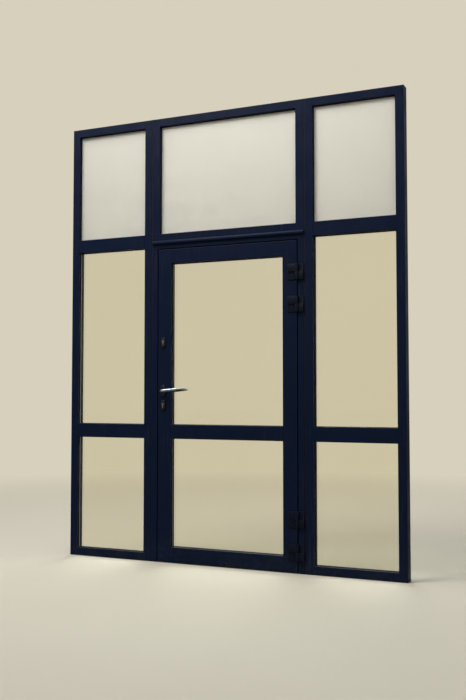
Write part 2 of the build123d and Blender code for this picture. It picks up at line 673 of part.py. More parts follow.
def cut_for_lock(stile, cylinder_z, case_top, latch_z=None):
    """Cuts the lock stile for a case, its cylinder, its screws and the spindle."""
    low = cylinder_z - CASE_BELOW_CYLINDER
    half = CASE_THICKNESS / 2 + CYLINDER_HOLE_CLEARANCE
    edge = HARDWARE_GROOVE_DEPTH + WALL
    stile -= block(
        -LEAF_HALF, -LEAF_HALF + edge, LEAF_MID - half, LEAF_MID + half, low - WALL, case_top + WALL
    )
    opening = cylinder_outline(CYLINDER_HOLE_CLEARANCE)
    stile -= through_leaf(opening, LOCK_X, cylinder_z, Y_OUT, LEAF_IN)
    for z in plate_screw_levels(cylinder_z, case_top):
        head = Vector(-LEAF_HALF, LEAF_MID, z)
        stile -= drill(head, RIGHT, PLATE_SCREW_RADIUS + SCREW_CLEARANCE, PLATE_SCREW_LENGTH)
    if latch_z is not None:
        stile -= drill(Vector(LOCK_X, Y_OUT, LEVER_Z), ALONG_Y, SPINDLE_HOLE_RADIUS, LEAF_DEPTH)
    return stile


def latch_bolt():
    """Spring latch, its sloping side towards the inside so that it rides in as the door shuts."""
    nose = -LEAF_HALF - LATCH_THROW
    bolt = bolt_box(LATCH_Z, LATCH_HEIGHT, LATCH_THICKNESS, 0, nose, nose + LATCH_BODY)
    y0, y1 = LEAF_MID - LATCH_THICKNESS / 2, LEAF_MID + LATCH_THICKNESS / 2
    slope = Polyline((nose, y0 + WALL), (nose, y1), (nose + LATCH_THROW - WALL, y1), close=True)
    cutter = extrude(Pos(0, 0, LATCH_Z - LATCH_HEIGHT / 2) * make_face(slope), LATCH_HEIGHT)
    return bolt - cutter


def dead_bolt(cylinder_z):
    """Dead bolt, drawn back into the leaf."""
    x0 = -LEAF_HALF + DEAD_BOLT_RECESS
    z = cylinder_z + DEAD_BOLT_ABOVE_CYLINDER
    return bolt_box(z, DEAD_BOLT_HEIGHT, DEAD_BOLT_THICKNESS, 0, x0, x0 + DEAD_BOLT_LENGTH)


def strike_span(cylinder_z, latch_z=None):
    """Lowest and highest level of a strike plate, from the bolts that it takes."""
    bolts = bolt_levels(cylinder_z, latch_z)
    low = min(z - height / 2 for z, height, _ in bolts) - STRIKE_END
    high = max(z + height / 2 for z, height, _ in bolts) + STRIKE_END
    return low, high


def strike_plate(cylinder_z, latch_z=None):
    """Plate on the jamb with a hole for each bolt."""
    low, high = strike_span(cylinder_z, latch_z)
    half = FACEPLATE_WIDTH / 2
    plate = block(-DOOR_OPENING_HALF, STRIKE_X, LEAF_MID - half, LEAF_MID + half, low, high)
    for z, height, thickness in bolt_levels(cylinder_z, latch_z):
        plate -= bolt_box(z, height, thickness, KEEP_CLEARANCE, -DOOR_OPENING_HALF, STRIKE_X)
    for z in (low + PLATE_SCREW_INSET, high - PLATE_SCREW_INSET):
        plate -= screw_hole(Vector(STRIKE_X, LEAF_MID, z), RIGHT, PLATE_SCREW_RADIUS, PLATE_SCREW_LENGTH)
    return plate


def strike_screws(cylinder_z, latch_z=None):
    """Two screws of a strike plate."""
    low, high = strike_span(cylinder_z, latch_z)
    return [
        screw(Vector(STRIKE_X, LEAF_MID, z), RIGHT, PLATE_SCREW_RADIUS, PLATE_SCREW_LENGTH)
        for z in (low + PLATE_SCREW_INSET, high - PLATE_SCREW_INSET)
    ]


def cut_for_strike(jamb, cylinder_z, latch_z=None):
    """Cuts the jamb's wall behind a strike plate for the bolts and the screws."""
    for z, height, thickness in bolt_levels(cylinder_z, latch_z):
        wall = -DOOR_OPENING_HALF - WALL
        jamb -= bolt_box(z, height, thickness, KEEP_CLEARANCE, wall, -DOOR_OPENING_HALF)
    low, high = strike_span(cylinder_z, latch_z)
    for z in (low + PLATE_SCREW_INSET, high - PLATE_SCREW_INSET):
        start = Vector(STRIKE_X, LEAF_MID, z)
        jamb -= drill(start, LEFT, PLATE_SCREW_RADIUS + SCREW_CLEARANCE, PLATE_SCREW_LENGTH)
    return jamb


def lever():
    """Outside lever: a neck, a bend and a tapering round grip that points to the hinges."""
    start, axis = Y_OUT - LEVER_END_GAP, Y_OUT - LEVER_STAND
    straight = LEVER_BEND + LEVER_RADIUS
    path = FilletPolyline((0, start), (0, axis), (straight, axis), radius=LEVER_BEND)
    profile = Plane(origin=(0, start, 0), z_dir=(0, -1, 0)) * Circle(LEVER_RADIUS)
    piece = sweep(profile, path)
    length = LEVER_REACH - LEVER_TIP_RADIUS - straight
    grip_plane = Plane(origin=(straight, axis, 0), z_dir=(1, 0, 0))
    piece += grip_plane * Pos(0, 0, length / 2) * Cone(LEVER_RADIUS, LEVER_TIP_RADIUS, length)
    piece += Pos(straight + length, axis, 0) * Sphere(LEVER_TIP_RADIUS)
    piece = Rot(0, -LEVER_RISE, 0) * piece
    side = SPINDLE / 2 + SPINDLE_CLEARANCE
    piece -= block(-side, side, start - SPINDLE_GRIP, start, -side, side)
    return Pos(LOCK_X, 0, LEVER_Z) * piece


def follower():
    """Hub in the lock case that the spindle turns, with a lobe that draws the latch."""
    outline = Circle(FOLLOWER_RADIUS)
    lobe = Pos(0, FOLLOWER_LOBE / 2) * Rectangle(FOLLOWER_LOBE_WIDTH, FOLLOWER_LOBE)
    square = Rectangle(SPINDLE + 2 * SPINDLE_CLEARANCE, SPINDLE + 2 * SPINDLE_CLEARANCE)
    outer, inner = CASE_THICKNESS / 2, CASE_THICKNESS / 2 - CASE_WALL - BOLT_CLEARANCE
    hub = through_leaf(outline, LOCK_X, LEVER_Z, LEAF_MID - outer, LEAF_MID + outer)
    hub += through_leaf(lobe, LOCK_X, LEVER_Z, LEAF_MID - inner, LEAF_MID + inner)
    return hub - through_leaf(square, LOCK_X, LEVER_Z, LEAF_MID - outer, LEAF_MID + outer)


def spindle():
    """Square bar through the lock, from one lever's neck to the other's."""
    reach = LEVER_END_GAP + SPINDLE_GRIP - RUN_GAP
    outline = Rectangle(SPINDLE, SPINDLE)
    return through_leaf(outline, LOCK_X, LEVER_Z, Y_OUT - reach, LEAF_IN + reach)


def furniture_plate(width, height, hole, z, hole_z):
    """Rounded oval plate on the leaf's outside face with one opening."""
    outline = SlotOverall(height, width, rotation=90)
    plate = through_leaf(outline, LOCK_X, z, FURNITURE_OUT, Y_OUT)
    rim = plate.faces().sort_by(Axis.Y)[0].edges()
    plate = fillet(rim, FURNITURE_RADIUS)
    return plate - through_leaf(hole, LOCK_X, hole_z, FURNITURE_OUT, Y_OUT)


def both_sides(piece):
    """A piece on the outside face of the leaf, and its mirror image on the inside face."""
    return [piece, mirror(piece, Plane(origin=(0, LEAF_MID, 0), z_dir=(0, 1, 0)))]


def stop_seal_section():
    """Hollow bulb seal in the stop's groove, u and y counted from the groove's centre line."""
    half = SEAL_BULB / 2
    front = LEAF_IN + RUN_GAP
    bulb = area(-half, front, half, STOP_OUT)
    bulb = fillet(bulb.vertices(), (STOP_OUT - front) / 2 - SEAL_SKIN / 4)
    bulb -= area(SEAL_SKIN - half, front + SEAL_SKIN, half - SEAL_SKIN, STOP_OUT - SEAL_SKIN)
    foot = GASKET_GROOVE / 2 - INSERT_CLEARANCE
    return bulb + area(-foot, STOP_OUT, foot, STOP_OUT + SEAL_GROOVE_DEPTH - INSERT_CLEARANCE)


def threshold():
    """Low threshold: a plate under the leaf and an upright stop behind it."""
    section = area(0, Y_OUT, THRESHOLD_PLATE, Y_IN) + stop_leg(0, THRESHOLD_HEIGHT)
    half = DOOR_OPENING_HALF
    piece = run(section, Vector(half, 0, 0), UP, 2 * half)
    for side in (-1, 1):
        x0, x1 = sorted((side * half, side * (half - STOP_LEG)))
        piece -= block(x0, x1, STOP_OUT, Y_IN, 0, THRESHOLD_HEIGHT)
    return piece


def drip_bar():
    """Bent strip over the joint above the door: a flange, a slope and a turned-down edge."""
    top = DOOR_FRAME_HEIGHT + COUPLING_GAP + DRIP_ABOVE_JOINT
    back, front = Y_OUT, Y_OUT - DRIP_REACH
    slope_foot = top - DRIP_SLOPE
    skin = DRIP_SKIN
    flange = area(back - skin, top - DRIP_HEIGHT, back, top)
    slope = make_face(
        Polyline(
            (back, top), (back - skin, top), (front, slope_foot), (front, slope_foot - skin),
            (front + skin, slope_foot - skin), (back, top - 2 * skin), close=True,
        )
    )
    edge = area(front, top - DRIP_HEIGHT, front + skin, slope_foot)
    section = flange + slope + edge
    plane = Plane(origin=(-CENTRE_HALF, 0, 0), x_dir=(0, 1, 0), z_dir=(1, 0, 0))
    return extrude(plane * section, CENTRE_WIDTH)


def drill_fixings(jamb, side):
    """Drills the wall fixing holes through an outer jamb."""
    start = side * HALF_WIDTH
    for middle, spacing in FIXING_PAIRS:
        for z in (middle - spacing / 2, middle + spacing / 2):
            towards = LEFT if side > 0 else RIGHT
            jamb -= drill(Vector(start, 0, z), towards, FIXING_HOLE_RADIUS, FRAME_FACE)
    return jamb


def save(name, pieces):
    """Writes one node: a single solid, or a group of separate solids."""
    solids = [s for piece in pieces for s in piece.solids()]
    export_step(solids[0] if len(solids) == 1 else Compound(children=solids), f"parts/{name}.step")


def add_all(store, found):
    """Adds the lists of one pane to the lists of a field."""
    for kind, pieces in found.items():
        store.setdefault(kind, []).extend(pieces)


def build_side(name, x0, x1, store):
    """One side frame with its three panes; x0 and x1 are its left and right edges."""
    sides = frame_sides(frame_section(), x0, x1, 0, SCREEN_HEIGHT, 0, FRAME_FACE)
    if name == "left":
        outer_key, inner_key, wall_side = "left", "right", -1
    else:
        outer_key, inner_key, wall_side = "right", "left", 1
    save(f"side_{name}_outer_jamb", [drill_fixings(sides[outer_key], wall_side)])
    save(f"side_{name}_inner_jamb", [sides[inner_key]])
    store["heads"].append(sides["top"])
    store["sills"].append(sides["bottom"])
    tube = FRAME_FACE - LIP
    levels = (("transom", SIDE_TRANSOM_Z), ("mid_rail", MID_RAIL_Z))
    for member, z in levels:
        save(f"side_{name}_{member}", [tee_member(Y_IN, x0 + tube, x1 - tube, z)])
        store["cleats"].extend(tee_connectors(Y_IN, x0 + tube, x1 - tube, z))
    store["cleats"].extend(frame_cleats(x0, x1, 0, SCREEN_HEIGHT, WALL, Y_IN))
    half = TEE_FACE / 2
    left, right = x0 + FRAME_FACE, x1 - FRAME_FACE
    lower = glazing(Y_IN, left, right, FRAME_FACE, MID_RAIL_Z - half)
    upper = glazing(Y_IN, left, right, MID_RAIL_Z + half, SIDE_TRANSOM_Z - half)
    top = glazing(Y_IN, left, right, SIDE_TRANSOM_Z + half, SCREEN_HEIGHT - FRAME_FACE)
    for pane in (lower, upper):
        store["clear"].extend(pane.pop("glass"))
        add_all(store, pane)
    store["frosted"].extend(top.pop("glass"))
    add_all(store, top)


def build_toplight(store):
    """Frame and pane over the door."""
    base, top = TOPLIGHT_BASE, SCREEN_HEIGHT
    sides = frame_sides(frame_section(), -CENTRE_HALF, CENTRE_HALF, base, top, 0, FRAME_FACE)
    save("toplight_jambs", [sides["left"], sides["right"]])
    save("toplight_head", [sides["top"]])
    save("toplight_sill", [sides["bottom"]])
    store["cleats"].extend(frame_cleats(-CENTRE_HALF, CENTRE_HALF, base, top, WALL, Y_IN))
    half = CENTRE_HALF - FRAME_FACE
    pane = glazing(Y_IN, -half, half, TOPLIGHT_SIGHT, top - FRAME_FACE)
    store["frosted"].extend(pane.pop("glass"))
    add_all(store, pane)


def build_shared(store):
    """Writes the nodes that hold like pieces of several fixed frames."""
    save("side_heads", store["heads"])
    save("side_sills", store["sills"])
    save("frame_cleats", store["cleats"])
    save("sidelight_glass", store["clear"])
    save("toplight_glass", store["frosted"])
    save("fixed_spacers", store["spacers"])
    save("fixed_setting_blocks", store["blocks"])
    save("fixed_gaskets", store["gaskets"])
    save("fixed_beads", store["beads"])


def build_door_frame(store):
    """Door frame, threshold, stop seal, coupling strips and drip bar."""
    reach = DOOR_FRAME_FACE + STOP_LEG
    sides = frame_sides(
        door_frame_section(), -CENTRE_HALF, CENTRE_HALF, 0, DOOR_FRAME_HEIGHT, 0, reach, square_foot=True
    )
    lock_jamb = cut_for_strike(sides["left"], MAIN_CYLINDER_Z, LATCH_Z)
    lock_jamb = cut_for_strike(lock_jamb, UPPER_CYLINDER_Z)
    hinge_jamb = sides["right"]
    for place in hinge_screw_holes(1):
        hinge_jamb -= screw_hole(place, OUTWARD, HINGE_SCREW_RADIUS, HINGE_SCREW_LENGTH)
    save("door_frame_lock_jamb", [lock_jamb])
    save("door_frame_hinge_jamb", [hinge_jamb])
    save("door_frame_head", [sides["top"]])
    save("threshold", [threshold()])
    store["cleats"].extend(
        frame_cleats(-CENTRE_HALF, CENTRE_HALF, 0, DOOR_FRAME_HEIGHT, WALL, Y_IN, upper_only=True)
    )
    seal_x = CENTRE_HALF - reach + SEAL_GROOVE_BACK
    seal_low, seal_high = THRESHOLD_HEIGHT - SEAL_GROOVE_BACK, DOOR_FRAME_HEIGHT - reach + SEAL_GROOVE_BACK
    seal = frame_sides(
        stop_seal_section(), -seal_x, seal_x, seal_low, seal_high, SEAL_BULB, SEAL_BULB
    )
    clear_half = DOOR_OPENING_HALF - STOP_LEG
    notch_feet(seal, -clear_half, clear_half, STOP_LEG, STOP_OUT, Y_IN)
    save("stop_seal", seal.values())
    y0, y1 = Y_OUT + DRIP_SKIN, Y_IN - DRIP_SKIN
    strips = [
        block(-SIDE_INNER, -CENTRE_HALF, y0, y1, 0, SCREEN_HEIGHT),
        block(CENTRE_HALF, SIDE_INNER, y0, y1, 0, SCREEN_HEIGHT),
        block(-CENTRE_HALF, CENTRE_HALF, y0, y1, DOOR_FRAME_HEIGHT, TOPLIGHT_BASE),
    ]
    save("coupling_strips", strips)
    save("drip_bar", [drip_bar()])
    save("strike_plates", [strike_plate(MAIN_CYLINDER_Z, LATCH_Z), strike_plate(UPPER_CYLINDER_Z)])


def build_leaf():
    """Leaf frame with its panes and glazing pieces."""
    low, high, half = LEAF_BOTTOM, LEAF_TOP, LEAF_HALF
    sides = frame_sides(leaf_section(), -half, half, low, high, 0, LEAF_FACE)
    lock_stile = cut_for_lock(sides["left"], MAIN_CYLINDER_Z, MAIN_CASE_TOP, LATCH_Z)
    lock_stile = cut_for_lock(lock_stile, UPPER_CYLINDER_Z, UPPER_CASE_TOP)
    hinge_stile = sides["right"]
    for place in hinge_screw_holes(-1):
        hinge_stile -= screw_hole(place, OUTWARD, HINGE_SCREW_RADIUS, HINGE_SCREW_LENGTH)
    save("leaf_lock_stile", [lock_stile])
    save("leaf_hinge_stile", [hinge_stile])
    save("leaf_top_rail", [sides["top"]])
    save("leaf_bottom_rail", [sides["bottom"]])
    tube = LEAF_FACE - LIP
    save("leaf_mid_rail", [tee_member(LEAF_IN, -half + tube, half - tube, MID_RAIL_Z)])
    edge = HARDWARE_GROOVE_DEPTH + WALL
    cleats = frame_cleats(-half, half, low, high, edge, LEAF_IN)
    save("leaf_cleats", cleats + tee_connectors(LEAF_IN, -half + tube, half - tube, MID_RAIL_Z))
    store = {}
    sight = half - LEAF_FACE
    add_all(store, glazing(LEAF_IN, -sight, sight, low + LEAF_FACE, MID_RAIL_Z - TEE_FACE / 2))
    add_all(store, glazing(LEAF_IN, -sight, sight, MID_RAIL_Z + TEE_FACE / 2, high - LEAF_FACE))
    save("leaf_glass", store["glass"])
    save("leaf_spacers", store["spacers"])
    save("leaf_setting_blocks", store["blocks"])
    save("leaf_gaskets", store["gaskets"])
    save("leaf_beads", store["beads"])


def build_hinges():
    """Four hinges: wings, pins and bushes."""
    save("hinge_leaf_wings", [at_hinge(leaf_wing(), z) for z in HINGE_LEVELS])
    save("hinge_frame_wings", [at_hinge(frame_wing(), z) for z in HINGE_LEVELS])
    save("hinge_pins", [at_hinge(hinge_pin(), z) for z in HINGE_LEVELS])
    save("hinge_bushes", [at_hinge(hinge_bush(), z) for z in HINGE_LEVELS])


def build_screws():
    """Screws of the hinges, strike plates, face plates and cylinders."""
    size = HINGE_SCREW_RADIUS, HINGE_SCREW_LENGTH
    in_frame = [screw(place, OUTWARD, *size) for place in hinge_screw_holes(1)]
    in_frame += strike_screws(MAIN_CYLINDER_Z, LATCH_Z) + strike_screws(UPPER_CYLINDER_Z)
    save("frame_screws", in_frame)
    in_leaf = [screw(place, OUTWARD, *size) for place in hinge_screw_holes(-1)]
    in_leaf += lock_screws(MAIN_CYLINDER_Z, MAIN_CASE_TOP)
    in_leaf += lock_screws(UPPER_CYLINDER_Z, UPPER_CASE_TOP)
    save("leaf_screws", in_leaf)


def build_locks():
    """Both locks, the lever set and the plates on the leaf's faces."""
    main_top, upper_top = MAIN_CASE_TOP, UPPER_CASE_TOP
    main_case = lock_case(MAIN_CYLINDER_Z, main_top, LATCH_Z)
    save("lock_cases", [main_case, lock_case(UPPER_CYLINDER_Z, upper_top)])
    main_plate = face_plate(MAIN_CYLINDER_Z, main_top, LATCH_Z)
    save("lock_face_plates", [main_plate, face_plate(UPPER_CYLINDER_Z, upper_top)])
    save("lock_cylinders", [lock_cylinder(MAIN_CYLINDER_Z), lock_cylinder(UPPER_CYLINDER_Z)])
    save("main_cylinder_core", cylinder_core(MAIN_CYLINDER_Z))
    save("upper_cylinder_core", cylinder_core(UPPER_CYLINDER_Z))
    save("latch_bolt", [latch_bolt()])
    save("main_dead_bolt", [dead_bolt(MAIN_CYLINDER_Z)])
    save("upper_dead_bolt", [dead_bolt(UPPER_CYLINDER_Z)])
    outside, inside = both_sides(lever())
    save("outside_lever", [outside])
    save("inside_lever", [inside])
    save("lever_spindle", [spindle()])
    save("lock_follower", [follower()])
    neck = Circle(LEVER_RADIUS + SHAFT_CLEARANCE)
    save("lever_roses", both_sides(furniture_plate(ROSE_WIDTH, ROSE_HEIGHT, neck, LEVER_Z, LEVER_Z)))
    hole = cylinder_outline(CYLINDER_HOLE_CLEARANCE)
    plates = []
    for z in (MAIN_CYLINDER_Z, UPPER_CYLINDER_Z):
        plate = furniture_plate(ESCUTCHEON_WIDTH, ESCUTCHEON_HEIGHT, hole, z - ESCUTCHEON_DROP, z)
        plates.extend(both_sides(plate))
    save("cylinder_escutcheons", plates)


def main():
    """Builds and writes every node."""
    fixed = {"clear": [], "frosted": [], "cleats": [], "heads": [], "sills": []}
    build_side("left", -HALF_WIDTH, -SIDE_INNER, fixed)
    build_side("right", SIDE_INNER, HALF_WIDTH, fixed)
    build_toplight(fixed)
    build_door_frame(fixed)
    build_shared(fixed)
    build_leaf()
    build_hinges()
    build_locks()
    build_screws()


main()
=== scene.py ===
import json
import math

import bmesh
import bpy
from bpy.props import FloatProperty, FloatVectorProperty, IntProperty, PointerProperty
from mathutils import Matrix, Vector


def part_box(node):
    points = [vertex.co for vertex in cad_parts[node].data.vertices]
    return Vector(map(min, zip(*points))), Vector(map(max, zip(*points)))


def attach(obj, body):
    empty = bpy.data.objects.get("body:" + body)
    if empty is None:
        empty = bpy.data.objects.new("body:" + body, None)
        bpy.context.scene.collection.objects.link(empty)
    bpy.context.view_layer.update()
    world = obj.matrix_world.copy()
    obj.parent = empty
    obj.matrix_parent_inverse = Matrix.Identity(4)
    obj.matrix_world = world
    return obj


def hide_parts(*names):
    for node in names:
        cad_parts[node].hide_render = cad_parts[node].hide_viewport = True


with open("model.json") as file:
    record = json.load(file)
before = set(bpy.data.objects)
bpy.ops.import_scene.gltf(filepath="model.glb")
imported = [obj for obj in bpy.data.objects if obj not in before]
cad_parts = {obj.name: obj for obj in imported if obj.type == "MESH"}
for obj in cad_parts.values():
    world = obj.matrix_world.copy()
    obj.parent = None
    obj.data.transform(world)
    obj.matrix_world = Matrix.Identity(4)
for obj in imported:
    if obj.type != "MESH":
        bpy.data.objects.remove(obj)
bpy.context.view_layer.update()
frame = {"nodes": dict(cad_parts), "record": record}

bl_info = {
    "name": "Glazed door dressing",
    "version": (1, 0, 0),
    "blender": (4, 5, 0),
    "location": "3D View > Sidebar > Door",
    "description": "Finishes, lever sets, hinges, locks and a studio for a glazed door in its frame",
    "category": "Object",
}

# Places of the leaf's furniture, in metres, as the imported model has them
PIVOTS = {joint["name"]: joint.get("pos_m") for joint in frame["record"]["behaviour"]["joints"]}
LOCK_X, _, LEVER_Z = PIVOTS["lever_turn"]
CORE_LEVELS = (PIVOTS["main_key_turn"][2], PIVOTS["upper_key_turn"][2])
LEAF_OUT, LEAF_IN = (corner[1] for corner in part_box("leaf_lock_stile"))
LEAF_MID = (LEAF_OUT + LEAF_IN) / 2

# Points of a mesh that are closer than this are one point, in metres
SAME_POINT = 1e-6
SAME_CAD_POINT = 2e-6
SAME_SEAM = 1e-5

# Steps of the levers' round shapes
BEND_STEPS = 14
TAPER_STEPS = 8
TIP_STEPS = 7
TIP_STEP_ANGLE = math.radians(11.5)

# Screws, as shares of the shank's radius
HEAD_RADIUS = 2.0
HEAD_EASE = 0.06
THREAD_FALL = 0.2
THREAD_RISE = 0.25
THREAD_DEPTH = 0.8
TIP_LENGTH = 0.9
TIP_RADIUS = 0.15
RECESS_RADIUS = 0.95
RECESS_DEPTH = 0.75
LOBE_DEPTH = 0.14
SCREW_SEGMENTS = 48

# Lamps: each one's property, side, place and target, in metres
LAMPS = (
    ("key", 3.0, (-2.9, -3.3, 6.6), (0, 0, 2.0)),
    ("fill", 3.6, (7.0, -4.2, 3.0), (0, 0, 1.3)),
    ("top", 3.5, (0.3, -1.4, 6.2), (0, 0, 1.2)),
    ("back", 3.0, (-1.5, 4.8, 5.3), (0.4, 0, 2.6)),
)
SOFT_SKY = (0.93, 0.96, 1.0, 1.0)

# Floor: its radius, where it starts and ends to fade, and what bounces find of its colour
FLOOR_RADIUS = 60.0
FADE_NEAR = 1.6
FADE_FAR = 7.5
BOUNCE_SHARE = 0.35

SENSOR_WIDTH = 36.0
NEAREST_VIEW = 0.05
FARTHEST_VIEW = 200.0

# What lamp light keeps of its strength through each glass
CLEAR_PASS = (0.86, 0.89, 0.88, 1.0)
FROSTED_PASS = (0.34, 0.34, 0.33, 1.0)

# Directions of brushed lines: the small share is the way that they run
ALONG_X = (0.02, 1.0, 1.0)
ALONG_Y = (1.0, 0.02, 1.0)
ALONG_Z = (1.0, 1.0, 0.02)
NO_DIRECTION = (1.0, 1.0, 1.0)


def chip(red, green, blue):
    """Linear colour of a paint chip given in steps of 0 to 255."""
    def linear(step):
        part = step / 255
        return part / 12.92 if part <= 0.04045 else ((part + 0.055) / 1.055) ** 2.4
    return (linear(red), linear(green), linear(blue), 1.0)


def shaded(colour_given, part, lift=0.0):
    """Darker or lighter colour of the same hue."""
    return tuple(min(1.0, part * value + lift) for value in colour_given[:3]) + (1.0,)


def colour(label, description, value):
    """Colour property of a finish."""
    return FloatVectorProperty(
        name=label, description=description, subtype="COLOR", size=4, min=0.0, max=1.0, default=value
    )


def length(label, description, value):
    """Length property in metres."""
    return FloatProperty(
        name=label, description=description, default=value, min=0.0, unit="LENGTH", precision=4
    )


def watts(label, description, value):
    """Strength of a lamp."""
    return FloatProperty(name=label, description=description + ", in watts", default=value, min=0.0)


def share(label, description, value):
    """Property from none to all."""
    return FloatProperty(
        name=label, description=description, default=value, min=0.0, max=1.0, subtype="FACTOR"
    )


class DoorFinishes(bpy.types.PropertyGroup):
    """Colours and surface values of every finish."""

    navy: colour("Navy coat", "Powder coat of the frames and the leaf", chip(13, 25, 49))
    threshold: colour("Threshold", "Coat of the threshold", chip(24, 27, 34))
    rubber: colour("Rubber", "Gaskets, seals and coupling strips", chip(12, 12, 13))
    clear_tint: colour("Clear glass", "Tint of the clear panes", chip(250, 248, 240))
    frosted: colour("Frosted glass", "Etched panes over the door and sidelights", chip(228, 226, 217))
    hinge: colour("Hinge coat", "Dark satin coat of the hinges", chip(11, 18, 34))
    steel: colour("Stainless steel", "Plates and bolts", chip(168, 167, 163))
    zinc: colour("Zinc plating", "Screws, cases and spindle", chip(164, 165, 160))
    aluminium: colour("Bare aluminium", "Cleats and spacers", chip(176, 178, 180))
    lever: colour("Lever metal", "Satin lever handles", chip(178, 186, 198))
    rose: colour("Rose metal", "Darker satin roses and escutcheons", chip(62, 66, 74))
    nickel: colour("Cylinder metal", "Nickel plated lock cylinders", chip(178, 172, 158))
    block: colour("Setting blocks", "Moulded packers under the glass", chip(36, 70, 128))
    bush: colour("Bushes", "Black bearing plastic in the hinges", chip(20, 20, 22))
    dust: colour("Dust", "Street dust that settles on ledges and low down", chip(120, 116, 108))
    coat_roughness: share("Coat roughness", "Roughness of the satin powder coat", 0.36)
    peel_scale: FloatProperty(
        name="Peel scale", description="Grain of the coat's orange peel, per metre", default=620.0, min=1.0
    )
    streaks: share("Rain marks", "Strength of the dried runs under ledges", 0.06)
    dust_amount: share("Dust amount", "Strength of the settled dust", 0.07)
    dust_height: length("Dust height", "How far splashes reach up from the floor", 0.22)
    # Worn edges also carry a painted highlight, a lighter copy of the coat. Joint shade is painted shade,
    # a darker copy of the coat, in joints and along sharp edges.
    wear_and_highlight: share("Edge wear", "Strength of the rubbed edges", 0.30)
    worn_edge_light_and_shade_radius: length("Worn edge, light and shade radius", "Width of the rubbed edges", 0.0016)
    joint_shade: share("Joint shade", "How dark the fine joints between profiles are", 0.7)


class DoorHardware(bpy.types.PropertyGroup):
    """Sizes of the pieces that are modelled here."""

    lever_radius: length("Neck radius", "Radius of the lever's neck and bend", 0.010)
    tip_radius: length("Tip radius", "Radius of the lever at its tip", 0.009)
    lever_stand: length("Stand-off", "From the leaf's face to the grip's axis", 0.045)
    lever_reach: length("Reach", "From the lever's pivot to its tip", 0.122)
    lever_bend: length("Bend radius", "Radius of the bend's centre line", 0.020)
    lever_gap: length("Neck gap", "From the leaf's face to the neck's foot", 0.0005)
    lever_rise: FloatProperty(
        name="Rise", description="How far the grip climbs towards its tip", default=math.radians(5.0),
        unit="ROTATION", subtype="ANGLE",
    )
    rose_width: length("Rose width", "Width of the oval rose", 0.035)
    rose_height: length("Rose height", "Height of the oval rose", 0.074)
    escutcheon_width: length("Escutcheon width", "Width of a cylinder escutcheon", 0.032)
    escutcheon_height: length("Escutcheon height", "Height of a cylinder escutcheon", 0.066)
    escutcheon_drop: length("Escutcheon drop", "Its middle below the cylinder's core", 0.008)
    plate_thickness: length("Plate thickness", "Thickness of roses and escutcheons", 0.009)
    plate_rounding: length("Plate rounding", "Rounding of their front rim", 0.0030)
    neck_clearance: length("Neck clearance", "Between a rose and the lever's neck", 0.0001)
    cylinder_radius: length("Cylinder radius", "Radius of a lock cylinder's head", 0.0085)
    web_radius: length("Web radius", "Half width of the cylinder's lower web", 0.005)
    cylinder_drop: length("Web drop", "From the core to the foot's centre", 0.0195)
    hole_clearance: length("Cylinder clearance", "Round a cylinder in its escutcheon", 0.0005)
    hinge_easing: length("Hinge edges", "Easing of the hinges' edges", 0.0007)
    plate_easing: length("Plate edges", "Easing of sheet metal edges", 0.0003)
    slide_room: length("Slide room", "Room on each side of a sliding bolt", 0.00005)
    smoothness: IntProperty(
        name="Smoothness", description="Segments round a lever or a rose", default=64, min=16, max=128
    )


class DoorStudio(bpy.types.PropertyGroup):
    """Floor, backdrop, lamps and camera."""

    floor: colour("Floor", "Pale studio floor", chip(196, 190, 174))
    backdrop: colour("Backdrop", "Pale surround that the camera sees", chip(215, 208, 188))
    ambient: FloatProperty(
        name="Ambient", description="Strength of the even light from all round", default=0.26, min=0.0
    )
    key: watts("Key", "Large lamp high at the front left", 300.0)
    fill: watts("Fill", "Lamp at the far right", 70.0)
    top: watts("Top", "Lamp overhead", 110.0)
    back: watts("Back", "Lamp behind the door", 240.0)
    camera_place: FloatVectorProperty(
        name="Camera place", description="Where the camera stands", subtype="TRANSLATION", unit="LENGTH",
        default=(2.414, -5.254, 1.0715),
    )
    camera_turn: FloatVectorProperty(
        name="Camera turn", description="How the camera is turned", subtype="EULER", unit="ROTATION",
        default=(math.radians(92.85), 0.0, math.radians(24.33)),
    )
    lens: FloatProperty(
        name="Lens", description="Focal length on a 36 mm sensor", default=46.97, min=10.0, unit="CAMERA"
    )


# Node helpers

def node(tree, kind, inputs=None, **settings):
    """Adds a shader node; inputs gives each socket a value or an output to link from."""
    made = tree.nodes.new("ShaderNode" + kind)
    for key, value in settings.items():
        setattr(made, key, value)
    for socket, value in (inputs or {}).items():
        if isinstance(value, bpy.types.NodeSocket):
            tree.links.new(value, made.inputs[socket])
        else:
            made.inputs[socket].default_value = value
    return made


def blend_colour(tree, factor, base, over, mode="MIX"):
    """Mixes two colours."""
    return node(tree, "Mix", {0: factor, 6: base, 7: over}, data_type="RGBA", blend_type=mode).outputs[2]


def combine(tree, operation, first, second):
    """Works out one value from two."""
    return node(tree, "Math", {0: first, 1: second}, operation=operation).outputs[0]


def spread(tree, value, low, high, to_low=0.0, to_high=1.0):
    """Maps a value smoothly from one range to another."""
    inputs = {"Value": value, "From Min": low, "From Max": high, "To Min": to_low, "To Max": to_high}
    return node(tree, "MapRange", inputs, interpolation_type="SMOOTHSTEP").outputs[0]


def place(tree, scale=(1, 1, 1)):
    """Object coordinates, stretched where a pattern needs it."""
    found = node(tree, "TexCoord").outputs["Object"]
    if tuple(scale) == (1, 1, 1):
        return found
    return node(tree, "Mapping", {"Vector": found, "Scale": scale}).outputs[0]


def cloud(tree, vector, scale, detail=3.0, roughness=0.55):
    """Noise value."""
    inputs = {"Vector": vector, "Scale": scale, "Detail": detail, "Roughness": roughness}
    return node(tree, "TexNoise", inputs).outputs["Fac"]


